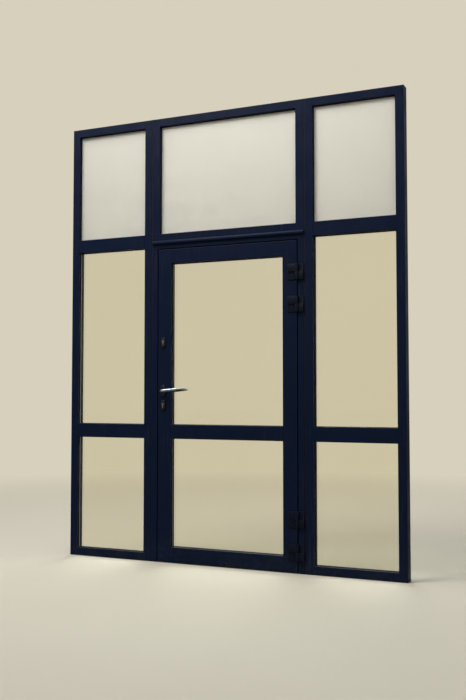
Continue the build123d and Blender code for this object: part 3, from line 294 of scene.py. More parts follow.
def effect(name, inputs, outputs):
    """New node group with named sockets; gives the tree, its inputs and its outputs."""
    tree = bpy.data.node_groups.new(name, "ShaderNodeTree")
    kinds = {"value": "NodeSocketFloat", "colour": "NodeSocketColor", "vector": "NodeSocketVector"}
    for label, kind, default in inputs:
        socket = tree.interface.new_socket(label, in_out="INPUT", socket_type=kinds[kind])
        socket.default_value = default
    for label, kind in outputs:
        tree.interface.new_socket(label, in_out="OUTPUT", socket_type=kinds[kind])
    return tree, tree.nodes.new("NodeGroupInput").outputs, tree.nodes.new("NodeGroupOutput").inputs


# Shared effects

def tone_effect():
    """Slow drift of a colour, with a hint of mottling."""
    tree, given, put = effect(
        "Tone drift", [("Colour", "colour", (0.5, 0.5, 0.5, 1)), ("Amount", "value", 0.1),
                       ("Scale", "value", 2.0)], [("Colour", "colour")]
    )
    slow = cloud(tree, place(tree), given["Scale"], 3.0, 0.6)
    fast = cloud(tree, place(tree), combine(tree, "MULTIPLY", given["Scale"], 17.0), 2.0)
    both = combine(tree, "ADD", combine(tree, "MULTIPLY", slow, 0.7), combine(tree, "MULTIPLY", fast, 0.3))
    offset = combine(tree, "MULTIPLY", combine(tree, "SUBTRACT", both, 0.5), given["Amount"])
    level = combine(tree, "ADD", combine(tree, "MULTIPLY", offset, 2.0), 1.0)
    grey = node(tree, "CombineColor", {0: level, 1: level, 2: level}).outputs[0]
    toned = blend_colour(tree, 1.0, given["Colour"], grey, "MULTIPLY")
    tree.links.new(toned, put["Colour"])
    return tree


def rain_effect():
    """Dried runs: narrow upright streaks, gathered in a few places."""
    tree, given, put = effect("Rain marks", [("Amount", "value", 0.1)], [("Mask", "value")])
    runs = cloud(tree, place(tree, (1, 1, 0.03)), 150.0, 2.0, 0.5)
    where = cloud(tree, place(tree, (1, 1, 0.5)), 3.1, 2.0)
    streaks = combine(tree, "MULTIPLY", spread(tree, runs, 0.52, 0.72), spread(tree, where, 0.42, 0.68))
    tree.links.new(combine(tree, "MULTIPLY", streaks, given["Amount"]), put["Mask"])
    return tree


def dust_effect():
    """Dust low down and on faces that look up."""
    tree, given, put = effect(
        "Settled dust", [("Amount", "value", 0.2), ("Height", "value", 0.3)], [("Mask", "value")]
    )
    level = node(tree, "SeparateXYZ", {0: place(tree)}).outputs["Z"]
    low = spread(tree, combine(tree, "DIVIDE", level, given["Height"]), 1.0, 0.0)
    facing = node(tree, "SeparateXYZ", {0: node(tree, "NewGeometry").outputs["Normal"]}).outputs["Z"]
    ledge = spread(tree, facing, 0.55, 0.98)
    grain = spread(tree, cloud(tree, place(tree), 46.0, 5.0, 0.7), 0.35, 0.68)
    patches = spread(tree, cloud(tree, place(tree), 6.0, 3.0), 0.3, 0.7, 0.35, 1.0)
    both = combine(tree, "MAXIMUM", combine(tree, "MULTIPLY", low, patches), ledge)
    mask = combine(tree, "MULTIPLY", combine(tree, "MULTIPLY", both, grain), given["Amount"])
    tree.links.new(mask, put["Mask"])
    return tree


def edge_wear_and_light_effect():
    """Edges, found where the rounded normal leaves the face's own: worn edges that also carry a painted
    highlight, and painted shade in the joints and along sharp edges.
    """
    tree, given, put = effect(
        "Edge wear", [("Amount", "value", 0.3), ("Radius", "value", 0.0016)],
        [("Mask", "value"), ("Joint", "value")],
    )
    soft = node(tree, "Bevel", {"Radius": given["Radius"]}, samples=3).outputs[0]
    own = node(tree, "NewGeometry").outputs["Normal"]
    same = node(tree, "VectorMath", {0: soft, 1: own}, operation="DOT_PRODUCT").outputs["Value"]
    edge = spread(tree, same, 0.985, 0.82)
    # Painted highlight mixed with real wear: the edge mask broken up by noise, later painted as a lighter
    # copy of the coat
    wear_and_highlight_spots = spread(tree, cloud(tree, place(tree), 24.0, 5.0, 0.65), 0.47, 0.66)
    worn_and_highlit = combine(tree, "MULTIPLY", edge, wear_and_highlight_spots)
    tree.links.new(combine(tree, "MULTIPLY", worn_and_highlit, given["Amount"]), put["Mask"])
    # Painted shade: a second edge mask without noise, later painted as a darker copy of the coat in joints
    # and along sharp edges
    tree.links.new(spread(tree, same, 0.93, 0.74), put["Joint"])
    return tree


def peel_effect():
    """Fine waviness of a sprayed coat, and how it scatters the gloss."""
    tree, given, put = effect(
        "Coat peel", [("Scale", "value", 620.0), ("Roughness", "value", 0.36)],
        [("Height", "value"), ("Roughness", "value")],
    )
    waves = cloud(tree, place(tree), given["Scale"], 2.0, 0.5)
    specks = cloud(tree, place(tree), combine(tree, "MULTIPLY", given["Scale"], 3.7), 1.0)
    coarse = combine(tree, "MULTIPLY", waves, 0.8)
    fine = combine(tree, "MULTIPLY", specks, 0.2)
    tree.links.new(combine(tree, "ADD", coarse, fine), put["Height"])
    uneven = spread(tree, cloud(tree, place(tree), 9.0, 4.0), 0.3, 0.7, -0.05, 0.07)
    tree.links.new(combine(tree, "ADD", given["Roughness"], uneven), put["Roughness"])
    return tree


def brushing_effect():
    """Fine parallel lines of a brushed or drawn metal."""
    tree, given, put = effect(
        "Brushed lines", [("Direction", "vector", (1, 1, 1)), ("Scale", "value", 900.0),
                          ("Roughness", "value", 0.3)], [("Height", "value"), ("Roughness", "value")]
    )
    stretched = node(
        tree, "VectorMath", {0: place(tree), 1: given["Direction"]}, operation="MULTIPLY"
    ).outputs[0]
    lines = cloud(tree, stretched, given["Scale"], 3.0, 0.6)
    tree.links.new(lines, put["Height"])
    uneven = spread(tree, lines, 0.3, 0.7, -0.06, 0.08)
    tree.links.new(combine(tree, "ADD", given["Roughness"], uneven), put["Roughness"])
    return tree


def handling_effect():
    """Smears and finger marks that dull a clean surface."""
    tree, given, put = effect(
        "Handling marks", [("Amount", "value", 0.1), ("Scale", "value", 14.0)], [("Mask", "value")]
    )
    smear = spread(tree, cloud(tree, place(tree, (1, 1, 0.6)), given["Scale"], 4.0, 0.7), 0.5, 0.78)
    fine = spread(tree, cloud(tree, place(tree), 260.0, 3.0), 0.4, 0.65, 0.4, 1.0)
    marks = combine(tree, "MULTIPLY", smear, fine)
    tree.links.new(combine(tree, "MULTIPLY", marks, given["Amount"]), put["Mask"])
    return tree


def grain_effect():
    """Matt grain of rubber and moulded plastic."""
    tree, given, put = effect(
        "Moulded grain", [("Scale", "value", 1500.0), ("Roughness", "value", 0.6)],
        [("Height", "value"), ("Roughness", "value")],
    )
    grain = cloud(tree, place(tree), given["Scale"], 3.0, 0.7)
    tree.links.new(grain, put["Height"])
    bloom = spread(tree, cloud(tree, place(tree), 12.0, 4.0), 0.35, 0.7, -0.08, 0.1)
    tree.links.new(combine(tree, "ADD", given["Roughness"], bloom), put["Roughness"])
    return tree


EFFECTS = {
    "tone": tone_effect, "rain": rain_effect, "dust": dust_effect, "wear_and_highlight": edge_wear_and_light_effect,
    "peel": peel_effect, "brushing": brushing_effect, "handling": handling_effect, "grain": grain_effect,
}


class Finish:
    """One material under construction."""

    made = {}
    effects = {}

    def __init__(self, name):
        self.material = bpy.data.materials.new(name)
        self.material.use_nodes = True
        self.tree = self.material.node_tree
        self.shader = self.tree.nodes["Principled BSDF"]
        Finish.made[name] = self.material

    def use(self, effect_name, **inputs):
        """Places a shared effect with its own values and gives its outputs."""
        if effect_name not in Finish.effects:
            Finish.effects[effect_name] = EFFECTS[effect_name]()
        group = node(self.tree, "Group", node_tree=Finish.effects[effect_name])
        for label, value in inputs.items():
            socket = group.inputs[label]
            if isinstance(value, bpy.types.NodeSocket):
                self.tree.links.new(value, socket)
            else:
                socket.default_value = value
        return group.outputs

    def plain(self, **values):
        """Sets values that are the same all over on the shader's own sockets."""
        for label, value in values.items():
            self.shader.inputs[label.replace("_", " ")].default_value = value
        return self

    def feed(self, label, output):
        """Links a varying output to the shader."""
        self.tree.links.new(output, self.shader.inputs[label])

    def bump(self, height, strength, distance):
        """Raises the surface by a height pattern."""
        made = node(self.tree, "Bump", {"Height": height, "Strength": strength, "Distance": distance})
        self.tree.links.new(made.outputs[0], self.shader.inputs["Normal"])

    def over(self, mask, base, top):
        """Lays one colour over another by a mask."""
        return blend_colour(self.tree, mask, base, top)


def sprayed(name, base, finishes, wear_and_highlight=1.0, dust=1.0, rain=1.0, roughness=None, gloss=0.12, peel=1.0):
    """Powder coat with peel, drifting tone, rain marks, dust, worn edges with a painted highlight, and
    painted shade in the joints.
    """
    made = Finish(name)
    tone = made.use("tone", Colour=base, Amount=0.10, Scale=1.7)["Colour"]
    runs = made.use("rain", Amount=finishes.streaks * rain)["Mask"]
    settled = made.use("dust", Amount=finishes.dust_amount * dust, Height=finishes.dust_height)["Mask"]
    edges = made.use("wear_and_highlight", Amount=finishes.wear_and_highlight * wear_and_highlight, Radius=finishes.worn_edge_light_and_shade_radius)
    if roughness is None:
        roughness = finishes.coat_roughness
    coat = made.use("peel", Scale=finishes.peel_scale, Roughness=roughness)
    # Painted shade: a darker copy of the coat along joints and sharp edges
    joints = combine(made.tree, "MULTIPLY", edges["Joint"], finishes.joint_shade)
    shown = made.over(joints, tone, shaded(base, 0.25))
    # Worn edges, partly real wear and partly a painted highlight: a lighter copy of the coat
    shown = made.over(edges["Mask"], shown, shaded(base, 3.2, 0.02))
    shown = made.over(runs, shown, finishes.dust)
    made.feed("Base Color", made.over(settled, shown, finishes.dust))
    dull = combine(made.tree, "MULTIPLY", combine(made.tree, "MAXIMUM", runs, settled), 0.5)
    made.feed("Roughness", combine(made.tree, "ADD", coat["Roughness"], dull))
    made.bump(coat["Height"], 0.22 * peel, 0.0001)
    made.plain(Specular_IOR_Level=gloss)
    return made.material


def metal(name, base, roughness, direction, scale=900.0, marks=0.12, lines=0.25):
    """Bare or plated metal with drawn lines and handling marks."""
    made = Finish(name)
    tone = made.use("tone", Colour=base, Amount=0.07, Scale=9.0)["Colour"]
    lined = made.use("brushing", Direction=direction, Scale=scale, Roughness=roughness)
    marked = made.use("handling", Amount=marks, Scale=38.0)["Mask"]
    made.feed("Base Color", made.over(marked, tone, shaded(base, 0.62)))
    dull = combine(made.tree, "MULTIPLY", marked, 0.6)
    made.feed("Roughness", combine(made.tree, "ADD", lined["Roughness"], dull))
    made.bump(lined["Height"], lines, 0.00004)
    made.plain(Metallic=1.0)
    return made.material


def moulded(name, base, finishes, roughness, grain=1500.0, dust=0.6):
    """Rubber or plastic with a matt grain and a little dust."""
    made = Finish(name)
    tone = made.use("tone", Colour=base, Amount=0.12, Scale=5.0)["Colour"]
    settled = made.use("dust", Amount=finishes.dust_amount * dust, Height=finishes.dust_height)["Mask"]
    skin = made.use("grain", Scale=grain, Roughness=roughness)
    made.feed("Base Color", made.over(settled, tone, finishes.dust))
    made.feed("Roughness", skin["Roughness"])
    made.bump(skin["Height"], 0.3, 0.00008)
    made.plain(Specular_IOR_Level=0.25)
    return made.material


def let_lamps_through(made, tint):
    """Lets lamp light pass a pane, so that glass casts no dark shadow."""
    tree = made.tree
    lamps = node(tree, "LightPath").outputs["Is Shadow Ray"]
    clear = node(tree, "BsdfTransparent", {0: tint})
    mixed = node(tree, "MixShader", {0: lamps, 1: made.shader.outputs[0], 2: clear.outputs[0]})
    tree.links.new(mixed.outputs[0], tree.nodes["Material Output"].inputs["Surface"])


def clear_glass(name, finishes):
    """Float glass with faint smears, dusty low down."""
    made = Finish(name)
    smears = made.use("handling", Amount=0.05, Scale=3.0)["Mask"]
    settled = made.use("dust", Amount=finishes.dust_amount * 0.12, Height=finishes.dust_height)["Mask"]
    haze = combine(made.tree, "MAXIMUM", smears, settled)
    tint = made.use("tone", Colour=finishes.clear_tint, Amount=0.02, Scale=1.5)["Colour"]
    made.feed("Base Color", made.over(settled, tint, finishes.dust))
    made.feed("Roughness", haze)
    made.plain(Transmission_Weight=1.0, IOR=1.5, Metallic=0.0)
    let_lamps_through(made, CLEAR_PASS)
    return made.material


def etched_glass(name, finishes):
    """Satin-etched white glass."""
    made = Finish(name)
    tone = made.use("tone", Colour=finishes.frosted, Amount=0.05, Scale=0.9)["Colour"]
    rain = made.use("rain", Amount=finishes.streaks * 0.7)["Mask"]
    skin = made.use("grain", Scale=2400.0, Roughness=0.52)
    made.feed("Base Color", made.over(rain, tone, finishes.dust))
    made.feed("Roughness", skin["Roughness"])
    made.bump(skin["Height"], 0.15, 0.00005)
    made.plain(Transmission_Weight=0.5, IOR=1.5, Metallic=0.0)
    let_lamps_through(made, FROSTED_PASS)
    return made.material


def make_finishes(finishes):
    """Every finish, one for each material slot of the record."""
    sprayed("navy_profiles", finishes.navy, finishes)
    sprayed("threshold_metal", finishes.threshold, finishes, wear_and_highlight=2.2, dust=2.0, roughness=0.45)
    sprayed(
        "hinge_coat", finishes.hinge, finishes, wear_and_highlight=0.9, dust=0.5, rain=0.35, roughness=0.42, gloss=0.18,
        peel=0.7,
    )
    moulded("strip_black", finishes.rubber, finishes, 0.62, 900.0)
    moulded("gasket_black", finishes.rubber, finishes, 0.55, 1700.0)
    moulded("block_plastic", finishes.block, finishes, 0.45, 1200.0)
    moulded("bush_black", finishes.bush, finishes, 0.35, 2000.0, 0.2)
    metal("spacer_grey", finishes.aluminium, 0.42, ALONG_Z, 700.0, 0.05)
    metal("cleat_metal", finishes.aluminium, 0.38, ALONG_Y, 500.0, 0.1)
    metal("plated_steel", finishes.zinc, 0.34, NO_DIRECTION, 320.0, 0.18)
    metal("stainless", finishes.steel, 0.28, ALONG_Z, 1100.0, 0.14)
    metal("lever_satin", finishes.lever, 0.25, ALONG_X, 1300.0, 0.07, lines=0.12)
    metal("rose_grey", finishes.rose, 0.33, ALONG_Z, 1200.0, 0.12)
    metal("cylinder_nickel", finishes.nickel, 0.22, NO_DIRECTION, 1500.0, 0.1)
    clear_glass("clear_glass", finishes)
    etched_glass("frosted_glass", finishes)


# Mesh helpers

def publish(bm, name, body, slot, *stands_for, smooth=35.0):
    """Turns a bmesh into a finished piece that rides on a body and stands for CAD nodes."""
    bmesh.ops.remove_doubles(bm, verts=bm.verts, dist=SAME_POINT)
    bmesh.ops.recalc_face_normals(bm, faces=bm.faces)
    mesh = bpy.data.meshes.new(name)
    bm.to_mesh(mesh)
    bm.free()
    mesh.shade_smooth()
    mesh.set_sharp_from_angle(angle=math.radians(smooth))
    piece = bpy.data.objects.new(name, mesh)
    bpy.context.scene.collection.objects.link(piece)
    mesh.materials.append(Finish.made[slot])
    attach(piece, body)
    if stands_for:
        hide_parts(*stands_for)
    return piece


def new_ring(bm, radius, centre, segments, facing="Y"):
    """Open ring of edges; facing names the axis that it lies across."""
    turns = {"X": (90.0, "Y"), "Y": (90.0, "X"), "Z": (0.0, "Z")}
    angle, axis = turns[facing]
    place_at = Matrix.Translation(centre) @ Matrix.Rotation(math.radians(angle), 4, axis)
    made = bmesh.ops.create_circle(bm, cap_ends=False, segments=segments, radius=radius, matrix=place_at)
    return made["verts"], edges_between(made["verts"])


def edges_between(verts):
    """Edges whose two ends are both among the given vertices."""
    chosen = set(verts)
    near = dict.fromkeys(edge for vert in verts for edge in vert.link_edges)
    return [edge for edge in near if edge.verts[0] in chosen and edge.verts[1] in chosen]


def grow(bm, rim, move=(0, 0, 0), widen=1.0, about=None):
    """Extrudes a rim, moves the copy and widens it about a point; gives the new rim."""
    made = bmesh.ops.extrude_edge_only(bm, edges=rim)["geom"]
    verts = [g for g in made if isinstance(g, bmesh.types.BMVert)]
    bmesh.ops.translate(bm, vec=Vector(move), verts=verts)
    if widen != 1.0:
        centre = sum((v.co for v in verts), Vector()) / len(verts) if about is None else Vector(about)
        bmesh.ops.scale(bm, vec=(widen, widen, widen), space=Matrix.Translation(-centre), verts=verts)
    return edges_between(verts)


def close(bm, rim):
    """Closes an open rim with one face."""
    return bmesh.ops.edgeloop_fill(bm, edges=rim)["faces"]


def oval(bm, width, height, centre, segments):
    """Upright oval outline with round ends, across Y."""
    verts, edges = new_ring(bm, width / 2, centre, segments)
    half_step = math.pi / segments
    bmesh.ops.rotate(bm, cent=centre, matrix=Matrix.Rotation(half_step, 3, "Y"), verts=verts)
    stretch = (height - width) / 2
    for sign in (-1, 1):
        end = [v for v in verts if (v.co.z - centre.z) * sign > 0]
        bmesh.ops.translate(bm, vec=(0, 0, sign * stretch), verts=end)
    return edges


def keyhole_outline(bm, radius, web, drop, centre, segments):
    """Outline of a lock cylinder, across Y: a round head with a narrower web and round foot."""
    verts, _ = new_ring(bm, radius, centre, segments)
    low = [v for v in verts if abs(v.co.x - centre.x) < web and v.co.z < centre.z]
    bmesh.ops.delete(bm, geom=low, context="VERTS")
    kept = [v for v in verts if v.is_valid]
    ends = sorted((v for v in kept if len(v.link_edges) == 1), key=lambda v: v.co.x)
    for end, sign in zip(ends, (-1, 1)):
        end.co.x = centre.x + sign * web
        end.co.z = centre.z - math.sqrt(radius ** 2 - web ** 2)
    foot = Vector((centre.x, centre.y, centre.z - drop))
    lowered = []
    for end in ends:
        made = bmesh.ops.extrude_vert_indiv(bm, verts=[end])["verts"][0]
        made.co.z = foot.z
        lowered.append(made)
    before = set(bm.verts)
    bmesh.ops.spin(bm, geom=[lowered[0]], cent=foot, axis=(0, 1, 0), angle=-math.pi, steps=segments // 2)
    made = [v for v in bm.verts if v not in before]
    if made and min(v.co.z for v in made) > foot.z - web / 2:
        bmesh.ops.rotate(bm, cent=foot, matrix=Matrix.Rotation(math.pi, 3, "X"), verts=made)
    outline = kept + lowered + made
    bmesh.ops.remove_doubles(bm, verts=outline, dist=SAME_SEAM)
    chosen = set(outline)
    return edges_between([v for v in bm.verts if v in chosen])


def rounded_plate(bm, rim, hole_rim, thickness, rounding, steps=6):
    """Plate that grows from the leaf's face towards the street, with a rounded front rim.

    rim and hole_rim lie on the leaf's face; the plate ends in a flat ring round the hole.
    """
    side = grow(bm, rim, (0, rounding - thickness, 0))
    face = close(bm, side)
    done_in = done_out = 0.0
    for step in range(1, steps + 1):
        angle = math.pi / 2 * step / steps
        inwards, outwards = rounding * (1 - math.cos(angle)), rounding * math.sin(angle)
        bmesh.ops.inset_region(
            bm, faces=face, thickness=inwards - done_in, depth=outwards - done_out, use_even_offset=True
        )
        done_in, done_out = inwards, outwards
    front = list(face[0].edges)
    bmesh.ops.delete(bm, geom=face, context="FACES_ONLY")
    wall = grow(bm, hole_rim, (0, -thickness, 0))
    bmesh.ops.triangle_fill(bm, edges=front + wall, use_beauty=True)
    bmesh.ops.triangle_fill(bm, edges=list(rim) + list(hole_rim), use_beauty=True)


def mirrored(bm):
    """Turns a piece of the outside face into its twin on the inside face."""
    bmesh.ops.scale(bm, vec=(1, -1, 1), space=Matrix.Translation((0, -LEAF_MID, 0)), verts=bm.verts)


def add_to(whole, part, inside=False):
    """Adds one part to a piece, on the inside face if asked."""
    if inside:
        mirrored(part)
    bmesh.ops.remove_doubles(part, verts=part.verts, dist=SAME_POINT)
    bmesh.ops.recalc_face_normals(part, faces=part.faces)
    mesh = bpy.data.meshes.new("part")
    part.to_mesh(mesh)
    part.free()
    whole.from_mesh(mesh)
    bpy.data.meshes.remove(mesh)


def softened(node_name, easing, segments=2, sharp=28.0):
    """Copy of a CAD node's mesh, merged, cleared of inner edges and eased along its corners."""
    bm = bmesh.new()
    bm.from_mesh(frame["nodes"][node_name].data)
    bmesh.ops.remove_doubles(bm, verts=bm.verts, dist=SAME_CAD_POINT)
    bmesh.ops.dissolve_limit(
        bm, angle_limit=math.radians(1.0), verts=bm.verts, edges=bm.edges, use_dissolve_boundaries=False
    )
    corners = [e for e in bm.edges if e.is_manifold and e.calc_face_angle(0.0) > math.radians(sharp)]
    bmesh.ops.bevel(
        bm, geom=corners, offset=easing, offset_type="OFFSET", affect="EDGES", segments=segments,
        profile=0.5, material=-1, clamp_overlap=True,
    )
    return bm


def freed(bm, node_name, room):
    """Takes a hair off both flat sides, so that a sliding piece runs free between its guides."""
    low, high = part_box(node_name)
    middle = (low[1] + high[1]) / 2
    kept = 1 - 2 * room / (high[1] - low[1])
    bmesh.ops.scale(bm, vec=(1, kept, 1), space=Matrix.Translation((0, -middle, 0)), verts=bm.verts)
    return bm


# Pieces

def lever_body(hardware):
    """Lever: a neck through the rose, a bend, and a round grip that tapers to a domed tip."""
    bm = bmesh.new()
    segments = hardware.smoothness
    radius, tip = hardware.lever_radius, hardware.tip_radius
    foot_y = LEAF_OUT - hardware.lever_gap
    axis_y = LEAF_OUT - hardware.lever_stand
    bend = hardware.lever_bend
    _, rim = new_ring(bm, radius, Vector((LOCK_X, foot_y, LEVER_Z)), segments)
    close(bm, rim)
    rim = grow(bm, rim, (0, axis_y + bend - foot_y, 0))
    turn = bmesh.ops.spin(
        bm, geom=rim, cent=(LOCK_X + bend, axis_y + bend, LEVER_Z), axis=(0, 0, 1),
        angle=math.pi / 2, steps=BEND_STEPS,
    )["geom_last"]
    rim = [g for g in turn if isinstance(g, bmesh.types.BMEdge)]
    rim = grow(bm, rim, (radius, 0, 0))
    taper = hardware.lever_reach - bend - tip - radius
    for step in range(TAPER_STEPS):
        before = radius + (tip - radius) * step / TAPER_STEPS
        after = radius + (tip - radius) * (step + 1) / TAPER_STEPS
        rim = grow(bm, rim, (taper / TAPER_STEPS, 0, 0), after / before)
    for step in range(TIP_STEPS):
        last = TIP_STEP_ANGLE * step
        angle = TIP_STEP_ANGLE * (step + 1)
        move = tip * (math.sin(angle) - math.sin(last))
        rim = grow(bm, rim, (move, 0, 0), math.cos(angle) / math.cos(last))
    close(bm, rim)
    climb = Matrix.Rotation(-hardware.lever_rise, 3, "Y")
    bmesh.ops.rotate(bm, cent=(LOCK_X, 0, LEVER_Z), matrix=climb, verts=bm.verts)
    return bm


def build_levers(hardware):
    """Outside and inside lever on one spindle."""
    outside = lever_body(hardware)
    publish(outside, "dressed_outside_lever", "lever", "lever_satin", "outside_lever")
    inside = lever_body(hardware)
    mirrored(inside)
    publish(inside, "dressed_inside_lever", "lever", "lever_satin", "inside_lever")


def build_roses(hardware):
    """Oval roses under both levers, each with a hole for the neck."""
    whole = bmesh.new()
    for inside in (False, True):
        bm = bmesh.new()
        centre = Vector((LOCK_X, LEAF_OUT, LEVER_Z))
        rim = oval(bm, hardware.rose_width, hardware.rose_height, centre, hardware.smoothness)
        hole = hardware.lever_radius + hardware.neck_clearance
        _, hole_rim = new_ring(bm, hole, centre, hardware.smoothness)
        rounded_plate(bm, rim, hole_rim, hardware.plate_thickness, hardware.plate_rounding)
        add_to(whole, bm, inside)
    publish(whole, "dressed_roses", "leaf", "rose_grey", "lever_roses")


def build_escutcheons(hardware):
    """Oval escutcheons round both lock cylinders, on both faces."""
    whole = bmesh.new()
    for core_z in CORE_LEVELS:
        for inside in (False, True):
            bm = bmesh.new()
            core = Vector((LOCK_X, LEAF_OUT, core_z))
            centre = core - Vector((0, 0, hardware.escutcheon_drop))
            rim = oval(
                bm, hardware.escutcheon_width, hardware.escutcheon_height, centre, hardware.smoothness
            )
            gap = hardware.hole_clearance
            hole_rim = keyhole_outline(
                bm, hardware.cylinder_radius + gap, hardware.web_radius + gap,
                hardware.cylinder_drop, core, hardware.smoothness
            )
            rounded_plate(bm, rim, hole_rim, hardware.plate_thickness, hardware.plate_rounding)
            add_to(whole, bm, inside)
    publish(whole, "dressed_escutcheons", "leaf", "rose_grey", "cylinder_escutcheons")


def build_hinges(hardware):
    """Hinge halves with eased edges."""
    for body, name in (("leaf", "hinge_leaf_wings"), ("frame", "hinge_frame_wings")):
        eased = softened(name, hardware.hinge_easing, 3)
        publish(eased, "dressed_" + name, body, "hinge_coat", name)


def fastener(bm, radius, shank):
    """Countersunk screw along -Z with its head's face at 0: eased rim, six-lobed recess, thread."""
    head = HEAD_RADIUS * radius
    ease = HEAD_EASE * radius
    middle = Vector((0, 0, 0))
    _, rim = new_ring(bm, head - ease, middle, SCREW_SEGMENTS, "Z")
    cone = grow(bm, rim, (0, 0, -ease), head / (head - ease))
    cone = grow(bm, cone, (0, 0, ease - radius), radius / head)
    turns = round(shank / ((THREAD_FALL + THREAD_RISE) * radius)) - 4
    for _ in range(turns):
        cone = grow(bm, cone, (0, 0, -THREAD_FALL * radius), THREAD_DEPTH)
        cone = grow(bm, cone, (0, 0, -THREAD_RISE * radius), 1 / THREAD_DEPTH)
    tip = grow(bm, cone, (0, 0, -TIP_LENGTH * radius), TIP_RADIUS)
    close(bm, tip)
    lobes, recess = new_ring(bm, RECESS_RADIUS * radius, middle, SCREW_SEGMENTS, "Z")
    for vert in lobes:
        angle = math.atan2(vert.co.y, vert.co.x)
        vert.co *= 1 + LOBE_DEPTH * math.cos(6 * angle)
    bmesh.ops.bridge_loops(bm, edges=rim + recess)
    floor = grow(bm, recess, (0, 0, -RECESS_DEPTH * radius), 0.94)
    close(bm, floor)


def islands(mesh):
    """Groups of vertices of a mesh that hang together, as lists of points."""
    bm = bmesh.new()
    bm.from_mesh(mesh)
    bmesh.ops.remove_doubles(bm, verts=bm.verts, dist=SAME_CAD_POINT)
    seen = set()
    found = []
    for start in bm.verts:
        if start in seen:
            continue
        seen.add(start)
        waiting = [start]
        group = []
        while waiting:
            vert = waiting.pop()
            group.append(vert.co.copy())
            for edge in vert.link_edges:
                other = edge.other_vert(vert)
                if other not in seen:
                    seen.add(other)
                    waiting.append(other)
        found.append(group)
    bm.free()
    return found


def screw_facts(points):
    """Head centre, outward direction, shank radius and length of one CAD screw."""
    low = Vector(min(p[i] for p in points) for i in range(3))
    high = Vector(max(p[i] for p in points) for i in range(3))
    along = max(range(3), key=lambda i: high[i] - low[i])
    middle = (low + high) / 2

    def spread_at(level):
        near = [p for p in points if abs(p[along] - level) < 1e-5]
        return max((p - middle)[(along + 1) % 3] for p in near)

    out = 1.0 if spread_at(high[along]) > spread_at(low[along]) else -1.0
    head = middle.copy()
    head[along] = high[along] if out > 0 else low[along]
    direction = Vector((0, 0, 0))
    direction[along] = out
    radius = min(spread_at(high[along]), spread_at(low[along]))
    return head, direction, radius, high[along] - low[along]


def build_screws():
    """Every screw again with its drive recess: dark in the hinges, steel in the lock's plates."""
    for node_name, body in (("frame_screws", "frame"), ("leaf_screws", "leaf")):
        groups = {"hinge_coat": bmesh.new(), "plated_steel": bmesh.new()}
        for points in islands(frame["nodes"][node_name].data):
            head, direction, radius, shank = screw_facts(points)
            one = bmesh.new()
            fastener(one, radius, shank)
            turn = Vector((0, 0, 1)).rotation_difference(direction).to_matrix().to_4x4()
            bmesh.ops.transform(one, matrix=Matrix.Translation(head) @ turn, verts=one.verts)
            slot = "hinge_coat" if abs(direction.y) > 0.5 else "plated_steel"
            add_to(groups[slot], one)
        for slot, bm in groups.items():
            publish(bm, f"{slot}_{node_name}", body, slot, node_name)


def build_locks(hardware):
    """Cylinders, cores, bolts and plates with eased edges, and the sheet metal of the frame."""
    latch = freed(softened("latch_bolt", hardware.plate_easing), "latch_bolt", hardware.slide_room)
    publish(latch, "dressed_latch_bolt", "latch", "stainless", "latch_bolt")
    pieces = (
        ("main_dead_bolt", "main_bolt", "stainless"),
        ("upper_dead_bolt", "upper_bolt", "stainless"),
        ("drip_bar", "frame", "navy_profiles"),
        ("threshold", "frame", "threshold_metal"),
        ("lock_cylinders", "leaf", "cylinder_nickel"),
        ("main_cylinder_core", "main_core", "cylinder_nickel"),
        ("upper_cylinder_core", "upper_core", "cylinder_nickel"),
        ("lock_face_plates", "leaf", "stainless"),
        ("strike_plates", "frame", "stainless"),
    )
    for name, body, slot in pieces:
        publish(softened(name, hardware.plate_easing), "dressed_" + name, body, slot, name)


def dress_nodes():
    """Gives every CAD node the finish of its slot."""
    for part in frame["record"]["subparts"]:
        mesh = frame["nodes"][part["node"]].data
        mesh.materials.clear()
        mesh.materials.append(Finish.made[part["material_slot"]])


# Studio

def pale_for_views(tree, seen, otherwise):
    """Shows one shader to the camera and through glass, and another to bounces and reflections."""
    path = node(tree, "LightPath").outputs
    views = combine(tree, "MAXIMUM", path["Is Camera Ray"], path["Is Transmission Ray"])
    return node(tree, "MixShader", {0: views, 1: otherwise, 2: seen}).outputs[0]


def build_floor(studio):
    """Pale floor that keeps the shadow near the door and melts into the backdrop far away.

    Bounced light finds it darker, so that the low parts of the door aren't lit from below.
    """
    bm = bmesh.new()
    bmesh.ops.create_circle(bm, cap_ends=True, segments=96, radius=FLOOR_RADIUS)
    mesh = bpy.data.meshes.new("studio_floor")
    bm.to_mesh(mesh)
    bm.free()
    floor = bpy.data.objects.new("studio_floor", mesh)
    bpy.context.scene.collection.objects.link(floor)
    made = Finish("studio_floor")
    tree = made.tree
    tone = made.use("tone", Colour=studio.floor, Amount=0.02, Scale=0.6)["Colour"]
    made.feed("Base Color", tone)
    made.plain(Roughness=0.85, Specular_IOR_Level=0.1)
    far = node(tree, "VectorMath", {0: place(tree)}, operation="LENGTH").outputs["Value"]
    glow = node(tree, "Emission", {"Color": studio.backdrop, "Strength": 1.0}).outputs[0]
    fade = spread(tree, far, FADE_NEAR, FADE_FAR)
    faded = node(tree, "MixShader", {0: fade, 1: made.shader.outputs[0], 2: glow})
    bounced = node(tree, "BsdfDiffuse", {"Color": shaded(studio.floor, BOUNCE_SHARE)}).outputs[0]
    seen = pale_for_views(tree, faded.outputs[0], bounced)
    tree.links.new(seen, tree.nodes["Material Output"].inputs["Surface"])
    mesh.materials.append(made.material)


